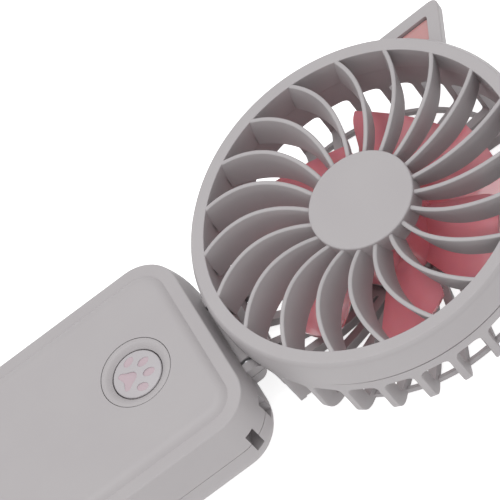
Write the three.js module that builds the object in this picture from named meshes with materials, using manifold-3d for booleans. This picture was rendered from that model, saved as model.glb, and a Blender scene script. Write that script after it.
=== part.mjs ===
// Handheld folding fan with a push button, a rechargeable battery and two ear shapes on its ring.
// It lies on its back: X runs along the hinge, Y from the handle to the fan, Z out of the front.
// The origin is the middle of the rectangle that the fan covers, on the surface it lies on.
// All lengths are millimetres.
import * as THREE from 'three';
import * as BufferGeometryUtils from 'three/addons/utils/BufferGeometryUtils.js';
import Module from 'manifold-3d';

const wasm = await Module();
wasm.setup();

// Clearances
const seam = 0.15;
const runningGap = 0.3;
const cutOverrun = 2;

// Handle
const bodyLength = 102;
const bodyCornerRadius = 12;
const backFillet = 10;
const wall = 2;
const partingHeight = 12.7;
const rimHeight = 23.6;
const panelHeight = 24.9;
const sideDraft = 1.4;
const rimWidth = 3.6;
const rimEdge = 0.35;
const panelSlope = 3.4;
const lipHeight = 1.2;
const lipThickness = 0.9;

// Fan head
const ringWallRadius = 46;
const ringFaceStep = 1;
const ringFaceWidth = 3.4;
const ringFaceRadius = ringWallRadius - ringFaceStep;
const ringInnerRadius = ringFaceRadius - ringFaceWidth;
const bandStep = 0.5;
const bandRadius = ringWallRadius - bandStep;
const headHeight = 28;
const headParting = 18.9;
const headGap = 1.2;
const ringEdgeDrop = 1.3;
const ringBore = 0.5;
const ringDraft = 0.35;
const ringEdgeRound = 0.45;
const grooveDepth = 3;
const grooveInset = 2;
const grooveRadius = bandRadius - grooveInset;
const grooveWidth = 1.5;
const faceHubRadius = 13.8;
const faceHubDrop = 1;
const faceHubEdge = 0.5;
const faceHubDepth = 6;
const faceHubWall = 1.5;
const finCount = 20;
const finDepth = 8.1;
const finDrop = 0.1;
const finHubDrop = 0.7;
const finDome = 2.4;
const finLean = 1.5;
const finThickness = 1.2;
const finRound = 0.5;
const finSteps = 6;
const finPhase = 87.9;
const finSweep = 11.6;
const finBow = 4.2;
const finRoot = 0.4;
const finOverrunShare = 0.02;

// Ears
const earHeight = 14;
const earTipRadius = ringWallRadius + earHeight;
const earTipAngle = 132;
const earOuterAngle = 153;
const earInnerAngle = 122.5;
const earTop = 24.2;
const earThickness = 3.4;
const earRim = 3.3;
const earLedge = 0.8;
const earLedgeHeight = 0.9;
const earTipRound = 3.4;
const earWindowRound = 1;
const earBevel = 0.35;
const earRoot = 1.6;
const earFoot = 1.75;
const inlayThickness = 1.4;

// Rear housing
const bandThickness = 3.9;
const housingCorner = 4.6;
const housingBend = 0.5;
const backThickness = 3.3;
const rearClear = 0.5;
const ventCount = 30;
const ventPhase = -0.6;
const ventTop = 12.4;
const ventShoulder = 0.9;
const ventChamfer = 1.2;
const ventInside = 0.3;
const ribTopWidth = 2.8;
const ribFootWidth = 2;
const ribBackWidth = 1.9;
const ribSweep = 22;
const barRingInset = 8;
const barRingWidth = 1.2;
const barRingHeight = 2.6;
const rearHubRadius = 14.5;
const rearHubEdge = 0.5;
const rearHubLap = 1;
const rearHubThickness = 2;
const seatWall = 1.2;
const seatHeight = 2.4;

// Impeller
const bladeCount = 7;
const bladeRoom = 8.6;
const bladeTipRadius = ringInnerRadius - bladeRoom;
const bladeRootTop = 17.4;
const bladeRootFoot = 7.2;
const bladeTipTop = 15.2;
const bladeTipFoot = 7.8;
const bladeSag = 1.4;
const bladeThickness = 1.3;
const bladeTaper = 0.45;
const bladePhase = 0.5;
const bladeTurn = 50;
const bladeLead = 5;
const bladeTipRound = 9;
const bladeSteps = 4;
const bladeSpans = 5;
const impellerHubRadius = 12.7;
const impellerHubWall = 1.2;
const impellerHubTop = 19.5;
const impellerHubFoot = 6.6;
const impellerBossRadius = 2.6;
const impellerBossLength = 2.9;

// Motor
const motorRadius = 10.3;
const motorHeight = 11;
const motorWall = 0.7;
const motorNeckRadius = 3.4;
const motorNeckHeight = 1.4;
const shaftRadius = 1;
const magnetThickness = 1.5;
const magnetSpan = 130;
const armatureRadius = 7;
const armatureHeight = 5.4;
const poleNeck = 2.2;
const poleSpan = 84;
const poleCap = 1.6;
const commutatorRadius = 2.2;
const endCapThickness = 1.6;
const bushRadius = 2.4;
const bushLength = 1.8;
const motorScrewSpacing = 13;

// Hinge
const hingeHeight = partingHeight;
const knuckleRadius = 3;
const knuckleHalf = 9.6;
const lugThickness = 2.6;
const washerThickness = 0.5;
const washerRadius = 2.6;
const pinRadius = 1.2;
const pinShort = 0.8;
const recessGap = 0.5;
const hingeBlockDepth = 2;
const hingeHeel = 1.8;
const tiltRelief = 4.6;
const tiltReliefSide = 5;

// Button and switch
const buttonFromHead = 22;
const bezelRadius = 9.45;
const bezelBore = 6.9;
const bezelFlange = 1.3;
const bezelFlangeThickness = 1.1;
const bezelDish = 1.1;
const bezelDishWidth = 1.7;
const buttonRadius = 6.6;
const buttonDrop = 0.9;
const buttonCrown = 0.35;
const buttonFlange = 0.9;
const buttonFlangeThickness = 0.9;
const buttonTravel = 0.5;
const padDepth = 0.15;
const stemRadius = 1.6;
const boardThickness = 1.2;
const boardDrop = 0.3;
const boardLevel = partingHeight - boardDrop;
const boardLeft = 26;
const boardRight = 16;
const boardLength = 15.6;
const boardCorner = 1.5;
const boardScrewLeft = 17.5;
const boardScrewRight = 13.6;
const switchSize = 6;
const switchHeight = 3.4;
const plungerRadius = 1.7;
const plungerRise = 1;
const plungerSink = 1.1;

// Charging socket
const socketWidth = 8.9;
const socketHeight = 3.2;
const socketDepth = 7.3;
const socketWall = 0.35;
const socketTongue = 0.7;
const socketTongueWidth = 6.6;
const socketBack = 1;
const socketInset = 0.6;

// Battery
const cellRadius = 9.1;
const cellLength = 64;
const cellGap = 0.8;
const cellSpacing = 2 * cellRadius + cellGap;
const cellLift = 1.2;
const cellEndInset = 6.6;
const cellCapRadius = 3;
const cellCapHeight = 0.6;
const strapThickness = 0.3;
const strapWidth = 8;
const cradleWidth = 1.6;
const cradleRise = 5;

// Fasteners
const screwHeadRadius = 1.6;
const screwHeadHeight = 1.1;
const screwRadius = 0.9;
const screwSeat = 7;
const screwLength = 10;
const bossRadius = 2.6;
const bossClear = 1;
const coverScrewInset = 7.8;
const hingeScrewInset = 11;
const smallHeadRadius = 1.5;
const smallHeadHeight = 0.8;
const smallScrewRadius = 0.7;
const smallScrewLength = 4;
const smallBossRadius = 2;

// Lanyard tunnel at the corner next to the hinge
const tunnelRadius = 5;
const tunnelWidth = 2.8;
const tunnelHeight = 7.1;
const tunnelDrop = 3.6;
const tunnelLow = partingHeight - tunnelDrop;
const tunnelReach = 2.6;
const cornerBlockRadius = 9;
const cornerBlockWall = 1.4;

// Places that follow from the sizes above
const bossX = cellSpacing / 2 + cellRadius + bossClear + bossRadius;
const bodyWidth = 2 * (bossX + coverScrewInset);
const totalLength = bodyLength + headGap + 2 * ringWallRadius;
const bodyY = (bodyLength - totalLength) / 2;
const headY = totalLength / 2 - ringWallRadius;
const bodyEndY = bodyY + bodyLength / 2;
const hingeY = headY - ringWallRadius;
const buttonY = bodyEndY - buttonFromHead;
const rad = THREE.MathUtils.degToRad;
const fineSteps = 40;
const hubSteps = 24;
const roundSteps = 16;
const smallSteps = 8;
const bezelSteps = 24;
const housingSteps = 2 * ventCount;
const cornerSteps = 6;
const backSteps = 3;
const singleStep = 1;
const fewSteps = 2;
const arcSteps = 4;
const padSteps = 5;

// Geometry helpers
function clean(geometry) {
  const bare = geometry.clone();
  for (const name of Object.keys(bare.attributes)) {
    if (name !== 'position') bare.deleteAttribute(name);
  }
  const merged = BufferGeometryUtils.mergeVertices(bare, 1e-5);
  const index = merged.index.array;
  const kept = [];
  for (let i = 0; i < index.length; i += 3) {
    const [a, b, c] = [index[i], index[i + 1], index[i + 2]];
    if (a !== b && b !== c && c !== a) kept.push(a, b, c);
  }
  const p = merged.attributes.position;
  const at = (i) => new THREE.Vector3().fromBufferAttribute(p, i);
  let volume = 0;
  for (let i = 0; i < kept.length; i += 3) {
    volume += at(kept[i]).dot(at(kept[i + 1]).cross(at(kept[i + 2])));
  }
  if (volume < 0) kept.reverse();
  merged.setIndex(kept);
  return merged;
}

function solid(geometry) {
  const closed = clean(geometry);
  const vertProperties = Float32Array.from(closed.attributes.position.array);
  const triVerts = Uint32Array.from(closed.index.array);
  return new wasm.Manifold(new wasm.Mesh({ numProp: 3, vertProperties, triVerts }));
}

function surface(body) {
  const mesh = body.getMesh();
  const geometry = new THREE.BufferGeometry();
  geometry.setAttribute('position', new THREE.BufferAttribute(Float32Array.from(mesh.vertProperties), 3));
  geometry.setIndex(Array.from(mesh.triVerts));
  return geometry;
}

function join(...bodies) {
  return bodies.reduce((whole, body) => whole.add(body));
}

function turned(profile, steps = roundSteps) {
  const points = profile.map(([r, z]) => new THREE.Vector2(r, z));
  return new THREE.LatheGeometry(points, steps).rotateX(Math.PI / 2);
}

function ringOf(profile, steps = roundSteps) {
  return turned([...profile, profile[0]], steps);
}

function rod(radius, low, high, steps = smallSteps) {
  const height = high - low;
  const upright = new THREE.CylinderGeometry(radius, radius, height, steps).rotateX(Math.PI / 2);
  return upright.translate(0, 0, low + height / 2);
}

function rodAlongX(radius, from, to, steps = smallSteps) {
  const length = to - from;
  const lying = new THREE.CylinderGeometry(radius, radius, length, steps).rotateZ(Math.PI / 2);
  return lying.translate(from + length / 2, 0, 0);
}

function block(x0, x1, y0, y1, z0, z1) {
  const box = new THREE.BoxGeometry(x1 - x0, y1 - y0, z1 - z0);
  return box.translate((x0 + x1) / 2, (y0 + y1) / 2, (z0 + z1) / 2);
}

function extrudeUp(shape, low, high, curveSegments = smallSteps) {
  const settings = { depth: high - low, bevelEnabled: false, curveSegments };
  return new THREE.ExtrudeGeometry(shape, settings).translate(0, 0, low);
}

function extrudeAlongX(shape, from, to, curveSegments = smallSteps) {
  const settings = { depth: to - from, bevelEnabled: false, curveSegments };
  const turn = new THREE.Matrix4().makeBasis(
    new THREE.Vector3(0, 1, 0), new THREE.Vector3(0, 0, 1), new THREE.Vector3(1, 0, 0));
  return new THREE.ExtrudeGeometry(shape, settings).applyMatrix4(turn).translate(from, 0, 0);
}

function roundedRectangle(width, height, radius) {
  const [x, y] = [width / 2, height / 2];
  const shape = new THREE.Shape();
  shape.absarc(x - radius, y - radius, radius, 0, Math.PI / 2);
  shape.absarc(radius - x, y - radius, radius, Math.PI / 2, Math.PI);
  shape.absarc(radius - x, radius - y, radius, Math.PI, 1.5 * Math.PI);
  shape.absarc(x - radius, radius - y, radius, 1.5 * Math.PI, 2 * Math.PI);
  shape.closePath();
  return shape;
}

// A closed skin through rings of points, with a fan of triangles on the first and the last ring.
function loft(rings) {
  const count = rings[0].length;
  const points = rings.flat();
  const index = [];
  for (let k = 0; k < rings.length - 1; k += 1) {
    for (let i = 0; i < count; i += 1) {
      const a = k * count + i;
      const b = k * count + (i + 1) % count;
      index.push(a, b, b + count, a, b + count, a + count);
    }
  }
  const last = (rings.length - 1) * count;
  for (let i = 1; i < count - 1; i += 1) {
    index.push(0, i + 1, i, last, last + i, last + i + 1);
  }
  const geometry = new THREE.BufferGeometry().setFromPoints(points);
  geometry.setIndex(index);
  return geometry;
}

function pointAt(radius, degrees, z) {
  return new THREE.Vector3(radius * Math.cos(rad(degrees)), radius * Math.sin(rad(degrees)), z);
}

// The handle's outline in plan, drawn in by an inset.
function handleRing(inset, z) {
  const radius = bodyCornerRadius - inset;
  const x = bodyWidth / 2 - inset - radius;
  const y = bodyLength / 2 - inset - radius;
  const ring = [];
  [[x, y, 0], [-x, y, 90], [-x, -y, 180], [x, -y, 270]].forEach(([cx, cy, start]) => {
    for (let i = 0; i <= cornerSteps; i += 1) {
      const corner = pointAt(radius, start + 90 * i / cornerSteps, z);
      ring.push(corner.add(new THREE.Vector3(cx, cy, 0)));
    }
  });
  return ring;
}

// A skin whose last ring joins its first one.
function closedLoft(rings) {
  const count = rings[0].length;
  const index = [];
  rings.forEach((ring, k) => {
    const next = (k + 1) % rings.length;
    for (let i = 0; i < count; i += 1) {
      const j = (i + 1) % count;
      index.push(k * count + i, k * count + j, next * count + j);
      index.push(k * count + i, next * count + j, next * count + i);
    }
  });
  const geometry = new THREE.BufferGeometry().setFromPoints(rings.flat());
  geometry.setIndex(index);
  return geometry;
}

// A cover is one skin: over the outside, round the edge at the parting, and back inside.
function cover(profile) {
  return loft(profile.map(([inset, z]) => handleRing(inset, z))).translate(0, bodyY, 0);
}

// Sizes that the two covers share
const panelInset = sideDraft + rimWidth + panelSlope;
const panelFloor = panelHeight - wall;
const rimFloor = rimHeight - wall;
const frontEdge = partingHeight + seam / 2;
const rearEdge = partingHeight - seam / 2;
const farBossY = coverScrewInset - bodyLength / 2;
const nearBossY = bodyLength / 2 - hingeScrewInset;
const screwPlaces = [[bossX, farBossY], [-bossX, farBossY], [bossX, nearBossY], [-bossX, nearBossY]];
const boardScrews = [-boardScrewLeft, boardScrewRight];
const boardTop = boardLevel + boardThickness;
const tunnelX = bodyWidth / 2 - tunnelReach;
const tunnelY = bodyEndY - tunnelReach;
const tunnelHigh = tunnelLow + tunnelHeight;
const cellEndY = bodyY - bodyLength / 2 + cellEndInset;
const cellLevel = wall + cellLift + cellRadius;
const socketLevel = boardTop + seam;
const pinHalf = knuckleHalf + 2 * runningGap + washerThickness + lugThickness - pinShort;

function cornerBlock(low, high) {
  const pocket = solid(rod(cornerBlockRadius, low, high, roundSteps).translate(tunnelX, tunnelY, 0));
  const inside = solid(loft([handleRing(wall / 2, low), handleRing(wall / 2, high)]).translate(0, bodyY, 0));
  return pocket.intersect(inside);
}

function lanyardTunnel() {
  const band = [
    [tunnelRadius - tunnelWidth / 2, tunnelLow],
    [tunnelRadius + tunnelWidth / 2, tunnelLow],
    [tunnelRadius + tunnelWidth / 2, tunnelHigh],
    [tunnelRadius - tunnelWidth / 2, tunnelHigh],
  ];
  return solid(ringOf(band, roundSteps).translate(tunnelX, tunnelY, 0));
}

const lugInner = knuckleHalf + 2 * runningGap + washerThickness;
const lugOuter = lugInner + lugThickness;
const recessHalf = lugOuter + recessGap;

function hingeRecess() {
  const lying = rodAlongX(knuckleRadius + recessGap, -recessHalf, recessHalf, roundSteps);
  return solid(lying.translate(0, hingeY, hingeHeight));
}

// The lugs meet at the parting plane and hold the pin between the two covers.
function lugs(low, high) {
  const behind = hingeY - knuckleRadius - recessGap - hingeBlockDepth / 2;
  const web = solid(block(lugInner, lugOuter, behind, hingeY, low, high));
  const round = rodAlongX(knuckleRadius, lugInner, lugOuter, roundSteps);
  const eye = solid(round.translate(0, hingeY, hingeHeight));
  const beyond = hingeY + knuckleRadius + cutOverrun;
  const half = solid(block(lugInner - cutOverrun, lugOuter + cutOverrun, behind, beyond, low, high));
  const bore = rodAlongX(pinRadius + seam, -pinHalf - seam, pinHalf + seam).translate(0, hingeY, hingeHeight);
  const lug = eye.intersect(half).add(web).subtract(solid(bore));
  return lug.add(lug.mirror([1, 0, 0]));
}

function recessWall(low, high) {
  const depth = knuckleRadius + recessGap + hingeBlockDepth;
  const half = recessHalf + hingeBlockDepth;
  return solid(block(-half, half, hingeY - depth, bodyEndY - wall / 2, low, high));
}

// Room in the rear cover's lip for what hangs from the front cover.
function frontRoom() {
  const high = rearEdge + lipHeight + cutOverrun;
  const low = rearEdge - seam / 2;
  const depth = knuckleRadius + recessGap + hingeBlockDepth + seam;
  const half = recessHalf + hingeBlockDepth + seam;
  const hinge = solid(block(-half, half, hingeY - depth, bodyEndY, low, high));
  const corner = solid(rod(cornerBlockRadius + seam, low, high, roundSteps).translate(tunnelX, tunnelY, 0));
  const reach = socketWidth / 2 + runningGap;
  const socket = solid(block(-bodyWidth / 2, -bodyWidth / 4, buttonY - reach, buttonY + reach, low, high));
  return join(hinge, corner, socket);
}

function socketShape(inset) {
  const radius = (socketHeight - 2 * inset) / 2 - seam;
  return roundedRectangle(socketWidth - 2 * inset, socketHeight - 2 * inset, radius);
}

function placeSocket(geometry) {
  return geometry.translate(0, buttonY, socketLevel + socketHeight / 2);
}

function socketOpening() {
  const outside = -bodyWidth / 2;
  const inside = outside + wall + cutOverrun;
  return solid(placeSocket(extrudeAlongX(socketShape(-seam), outside - cutOverrun, inside, fewSteps)));
}

function buildFrontCover() {
  const riseShares = [0, 0.3, 0.65, 1];
  const high = rimHeight - rimEdge;
  const flank = high - frontEdge;
  const flanks = riseShares.map((share) => [sideDraft * share * share, frontEdge + flank * share]);
  const slopeShares = [[0, 0], [0.2, 0.5], [0.55, 0.87], [1, 1]];
  const rise = panelHeight - rimHeight;
  const rimInner = sideDraft + rimWidth;
  const slope = slopeShares.map(([across, up]) => [rimInner + panelSlope * across, rimHeight + rise * up]);
  let body = solid(cover([
    [panelInset, panelFloor],
    [rimInner, rimFloor],
    [sideDraft + wall, rimFloor],
    [wall, frontEdge + lipHeight + seam],
    [wall, frontEdge],
    ...flanks,
    [sideDraft + rimEdge, rimHeight],
    ...slope,
  ]));
  body = body.add(cornerBlock(frontEdge, tunnelHigh + cornerBlockWall));
  body = body.add(recessWall(frontEdge, hingeHeight + knuckleRadius + recessGap + hingeBlockDepth));
  for (const [x, y] of screwPlaces) {
    body = body.add(solid(rod(bossRadius, frontEdge, rimFloor + wall / 2).translate(x, bodyY + y, 0)));
  }
  for (const x of boardScrews) {
    const post = rod(smallBossRadius, boardTop + seam, panelFloor + wall / 2);
    body = body.add(solid(post.translate(x, buttonY, 0)));
  }
  body = body.subtract(lanyardTunnel());
  body = body.subtract(hingeRecess());
  body = body.add(lugs(frontEdge, hingeHeight + knuckleRadius));
  const bezelHole = rod(bezelRadius + seam, panelFloor - cutOverrun, panelHeight + cutOverrun, bezelSteps);
  body = body.subtract(solid(bezelHole.translate(0, buttonY, 0)));
  body = body.subtract(socketOpening());
  for (const [x, y] of screwPlaces) {
    const pilot = rod(screwRadius + seam, frontEdge - cutOverrun, screwSeat + screwLength + runningGap);
    body = body.subtract(solid(pilot.translate(x, bodyY + y, 0)));
  }
  for (const x of boardScrews) {
    const pilot = rod(smallScrewRadius + seam, boardLevel, boardLevel + smallScrewLength + runningGap);
    body = body.subtract(solid(pilot.translate(x, buttonY, 0)));
  }
  return surface(body);
}

// A rib across the floor, hollowed to the two cells.
function cradle(y) {
  const half = cellSpacing / 2 + cellRadius;
  let rib = solid(block(-half, half, y - cradleWidth / 2, y + cradleWidth / 2, wall / 2, wall + cradleRise));
  for (const side of [-1, 1]) {
    const room = rod(cellRadius + runningGap, -cutOverrun, cradleWidth + cutOverrun, roundSteps);
    const lying = room.rotateX(Math.PI / 2).translate(side * cellSpacing / 2, y + cradleWidth, cellLevel);
    rib = rib.subtract(solid(lying));
  }
  return rib;
}

function buildRearCover() {
  const outside = [];
  const inside = [];
  for (let i = 0; i <= backSteps; i += 1) {
    const angle = rad(90 * i / backSteps);
    const bend = backFillet - wall;
    outside.push([backFillet * (1 - Math.sin(angle)), backFillet * (1 - Math.cos(angle))]);
    inside.unshift([wall + bend * (1 - Math.sin(angle)), wall + bend * (1 - Math.cos(angle))]);
  }
  let body = solid(cover([...outside, [0, rearEdge], [wall, rearEdge], ...inside]));
  const lipOuter = wall + seam;
  const lip = [
    [wall / 2, rearEdge - lipHeight],
    [wall / 2, rearEdge - seam],
    [lipOuter, rearEdge - seam],
    [lipOuter, rearEdge + lipHeight],
    [lipOuter + lipThickness, rearEdge + lipHeight],
    [lipOuter + lipThickness, rearEdge - lipHeight],
  ];
  body = body.add(solid(closedLoft(lip.map(([inset, z]) => handleRing(inset, z))).translate(0, bodyY, 0)));
  body = body.add(cornerBlock(tunnelLow - cornerBlockWall, rearEdge));
  body = body.add(recessWall(hingeHeight - knuckleRadius - recessGap - hingeBlockDepth, rearEdge));
  const filled = solid(cover([...outside, [0, rearEdge]]));
  for (const [x, y] of screwPlaces) {
    const boss = solid(rod(bossRadius, wall / 2, rearEdge).translate(x, bodyY + y, 0));
    body = body.add(boss.intersect(filled));
  }
  body = body.add(cradle(cellEndY + cellLength / 4));
  body = body.add(cradle(cellEndY + 3 * cellLength / 4));
  body = body.subtract(lanyardTunnel());
  body = body.subtract(hingeRecess());
  body = body.subtract(frontRoom());
  body = body.add(lugs(hingeHeight - knuckleRadius, rearEdge));
  for (const [x, y] of screwPlaces) {
    const head = rod(screwHeadRadius + runningGap, -cutOverrun, screwSeat + seam);
    const shank = rod(screwRadius + seam, screwSeat - cutOverrun, rearEdge + cutOverrun);
    body = body.subtract(solid(head.translate(x, bodyY + y, 0)));
    body = body.subtract(solid(shank.translate(x, bodyY + y, 0)));
  }
  return surface(body);
}

// A screw standing on its head, with the seat under the head at height 0.
function screw(headRadius, headHeight, radius, length) {
  return turned([
    [0, -headHeight],
    [headRadius, -headHeight],
    [headRadius, 0],
    [radius, 0],
    [radius, length - radius],
    [0, length],
  ], smallSteps);
}

function buildCoverScrew([x, y]) {
  return screw(screwHeadRadius, screwHeadHeight, screwRadius, screwLength).translate(x, bodyY + y, screwSeat);
}

function buildBezel() {
  const flangeTop = panelFloor - seam;
  const foot = flangeTop - bezelFlangeThickness;
  const dishShares = [[0, 0], [0.25, 0.05], [0.6, 0.3], [0.87, 0.68], [1, 1]];
  const roll = dishShares.map(([inShare, downShare]) => (
    [bezelBore + bezelDishWidth * (1 - inShare), panelHeight - bezelDish * downShare]));
  return ringOf([
    [bezelRadius + bezelFlange, foot],
    [bezelRadius + bezelFlange, flangeTop],
    [bezelRadius, flangeTop],
    [bezelRadius, panelHeight],
    ...roll,
    [bezelBore, foot],
  ], bezelSteps).translate(0, buttonY, 0);
}

const bezelFoot = panelFloor - seam - bezelFlangeThickness;
const buttonTop = panelHeight - buttonDrop;
const buttonFlangeTop = bezelFoot - runningGap;
const buttonFoot = buttonFlangeTop - buttonFlangeThickness;
const switchTop = boardTop + seam + switchHeight;
const plungerTop = switchTop + plungerRise;

// Pads sunk into the button: x, y, half width and half length, as shares of the button's radius
const padShares = [
  [0, -0.37, 0.4, 0.29],
  [-0.66, -0.06, 0.17, 0.24],
  [-0.27, 0.42, 0.18, 0.26],
  [0.27, 0.42, 0.18, 0.26],
  [0.66, -0.06, 0.17, 0.24],
];

function buildButton() {
  const crownShares = [[1, 0], [0.97, 0.35], [0.85, 0.6], [0.5, 0.92], [0, 1]];
  const dome = crownShares.map(([out, up]) => [buttonRadius * out, buttonTop + buttonCrown * up]);
  const profile = [
    [0, plungerTop + runningGap],
    [stemRadius, plungerTop + runningGap],
    [stemRadius, buttonFoot],
    [buttonRadius + buttonFlange, buttonFoot],
    [buttonRadius + buttonFlange, buttonFlangeTop],
    [buttonRadius, buttonFlangeTop],
    ...dome,
  ];
  let body = solid(turned(profile, bezelSteps));
  for (const [x, y, wide, long] of padShares) {
    const shape = new THREE.Shape();
    shape.absellipse(0, 0, wide * buttonRadius, long * buttonRadius, 0, 2 * Math.PI);
    const pad = extrudeUp(shape, buttonTop - padDepth, buttonTop + cutOverrun, padSteps);
    body = body.subtract(solid(pad.translate(x * buttonRadius, y * buttonRadius, 0)));
  }
  return surface(body.translate([0, buttonY, 0]));
}

function buildPlunger() {
  return rod(plungerRadius, switchTop - plungerSink, plungerTop).translate(0, buttonY, 0);
}

function buildSwitch() {
  const outline = roundedRectangle(switchSize, switchSize, seam * 2);
  const box = extrudeUp(outline, boardTop + seam, switchTop, singleStep);
  const wellFloor = switchTop - plungerSink - buttonTravel - runningGap;
  const well = rod(plungerRadius + runningGap, wellFloor, switchTop + cutOverrun);
  return surface(solid(box).subtract(solid(well)).translate([0, buttonY, 0]));
}

function buildBoard() {
  const width = boardLeft + boardRight;
  const shape = roundedRectangle(width, boardLength, boardCorner);
  const plate = extrudeUp(shape, boardLevel, boardTop, singleStep);
  let board = solid(plate.translate((boardRight - boardLeft) / 2, buttonY, 0));
  for (const x of boardScrews) {
    const hole = rod(smallScrewRadius + seam, boardLevel - cutOverrun, boardTop + cutOverrun);
    board = board.subtract(solid(hole.translate(x, buttonY, 0)));
  }
  return surface(board);
}

function buildBoardScrew(x) {
  const shaft = screw(smallHeadRadius, smallHeadHeight, smallScrewRadius, smallScrewLength);
  return shaft.translate(x, buttonY, boardLevel - seam);
}

function buildSocket() {
  const mouth = socketInset - bodyWidth / 2;
  const back = mouth + socketDepth;
  const shell = solid(extrudeAlongX(socketShape(0), mouth, back, fewSteps));
  const room = extrudeAlongX(socketShape(socketWall), mouth - cutOverrun, back - socketBack, fewSteps);
  const [wide, thick] = [socketTongueWidth / 2, socketTongue / 2];
  const tongue = solid(block(mouth + socketInset, back - socketBack / 2, -wide, wide, -thick, thick));
  const whole = shell.subtract(solid(room)).add(tongue);
  return placeSocket(surface(whole));
}

function buildCell(side) {
  const body = turned([
    [0, 0],
    [cellRadius, 0],
    [cellRadius, cellLength - cellCapHeight],
    [cellCapRadius, cellLength - cellCapHeight],
    [cellCapRadius, cellLength],
    [0, cellLength],
  ], roundSteps);
  return body.rotateX(-Math.PI / 2).translate(side * cellSpacing / 2, cellEndY, cellLevel);
}

function buildStrap(y) {
  const shape = roundedRectangle(cellSpacing + strapWidth, strapWidth, strapWidth / 2 - seam);
  const strap = extrudeUp(shape, 0, strapThickness, fewSteps).rotateX(-Math.PI / 2);
  return strap.translate(0, y, cellLevel);
}

function buildPin() {
  return rodAlongX(pinRadius, -pinHalf, pinHalf).translate(0, hingeY, hingeHeight);
}

function buildWasher(side) {
  const start = knuckleHalf + runningGap;
  const ring = ringOf([
    [pinRadius + seam, start],
    [washerRadius, start],
    [washerRadius, start + washerThickness],
    [pinRadius + seam, start + washerThickness],
  ], smallSteps);
  return ring.rotateY(side * Math.PI / 2).translate(0, hingeY, hingeHeight);
}

// The fan's front: ring, hub disc, curved fins and ears in one moulding
function fin(angle) {
  const outerTop = headHeight - finDrop;
  const innerTop = headHeight - faceHubDrop - finHubDrop;
  const foot = headHeight - finDepth;
  const outer = pointAt(ringInnerRadius + finRoot, 0, 0);
  const inner = pointAt(faceHubRadius - finRoot / 2, -finSweep, 0);
  const along = inner.clone().sub(outer);
  const side = new THREE.Vector3(along.y, -along.x, 0).normalize();
  const half = finThickness / 2;
  const rings = [];
  for (let i = 0; i <= finSteps; i += 1) {
    const share = (1 + 2 * finOverrunShare) * i / finSteps - finOverrunShare;
    const arch = 4 * share * (1 - share);
    const middle = outer.clone().addScaledVector(along, share).addScaledVector(side, -finBow * arch);
    const slope = along.clone().addScaledVector(side, -4 * finBow * (1 - 2 * share)).normalize();
    const across = new THREE.Vector3(-slope.y, slope.x, 0);
    const top = outerTop + (innerTop - outerTop) * share + finDome * arch;
    const section = [
      [half, top - finRound],
      [0, top],
      [-half, top - finRound],
      [-half - finLean, foot],
      [half - finLean, foot],
    ];
    rings.push(section.map(([out, z]) => middle.clone().addScaledVector(across, out).setZ(z)));
  }
  return loft(rings).rotateZ(rad(angle));
}

// The corners of a triangle whose sides are drawn in by three insets.
function drawnIn(corners, insets) {
  const sides = corners.map((corner, i) => {
    const next = corners[(i + 1) % 3];
    const along = next.clone().sub(corner).normalize();
    const inward = new THREE.Vector2(-along.y, along.x);
    const opposite = corners[(i + 2) % 3];
    if (opposite.clone().sub(corner).dot(inward) < 0) inward.negate();
    return { from: corner.clone().addScaledVector(inward, insets[i]), along };
  });
  return sides.map((one, i) => {
    const other = sides[(i + 2) % 3];
    const gap = other.from.clone().sub(one.from);
    const reach = gap.cross(other.along) / one.along.cross(other.along);
    return one.from.clone().addScaledVector(one.along, reach);
  });
}

function roundedTriangle(corners, rounds) {
  const shape = new THREE.Shape();
  corners.forEach((corner, i) => {
    const before = corners[(i + 2) % 3];
    const after = corners[(i + 1) % 3];
    const start = corner.clone().add(before.clone().sub(corner).setLength(rounds[i]));
    const end = corner.clone().add(after.clone().sub(corner).setLength(rounds[i]));
    if (i === 0) shape.moveTo(start.x, start.y);
    else shape.lineTo(start.x, start.y);
    shape.quadraticCurveTo(corner.x, corner.y, end.x, end.y);
  });
  shape.closePath();
  return shape;
}

const earCorners = [
  pointAt(ringWallRadius - earRoot, earOuterAngle, 0),
  pointAt(earTipRadius, earTipAngle, 0),
  pointAt(ringWallRadius - earRoot, earInnerAngle, 0),
].map((point) => new THREE.Vector2(point.x, point.y));

function earWindow(grow) {
  const foot = earRoot + earFoot;
  return roundedTriangle(drawnIn(earCorners, [earRim - grow, earRim - grow, foot - grow]), [
    earWindowRound, earWindowRound, earWindowRound]);
}

function ear(low, high) {
  const outline = roundedTriangle(earCorners, [earRoot, earTipRound, earRoot]);
  const settings = {
    depth: high - low - 2 * earBevel,
    bevelThickness: earBevel,
    bevelSize: earBevel,
    bevelOffset: -earBevel,
    bevelSegments: singleStep,
    curveSegments: arcSteps,
  };
  const plate = solid(new THREE.ExtrudeGeometry(outline, settings).translate(0, 0, low + earBevel));
  const through = solid(extrudeUp(earWindow(-earLedge), low - cutOverrun, high + cutOverrun, fewSteps));
  const seat = solid(extrudeUp(earWindow(0), low + earLedgeHeight, high + cutOverrun, fewSteps));
  return plate.subtract(through).subtract(seat);
}

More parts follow.
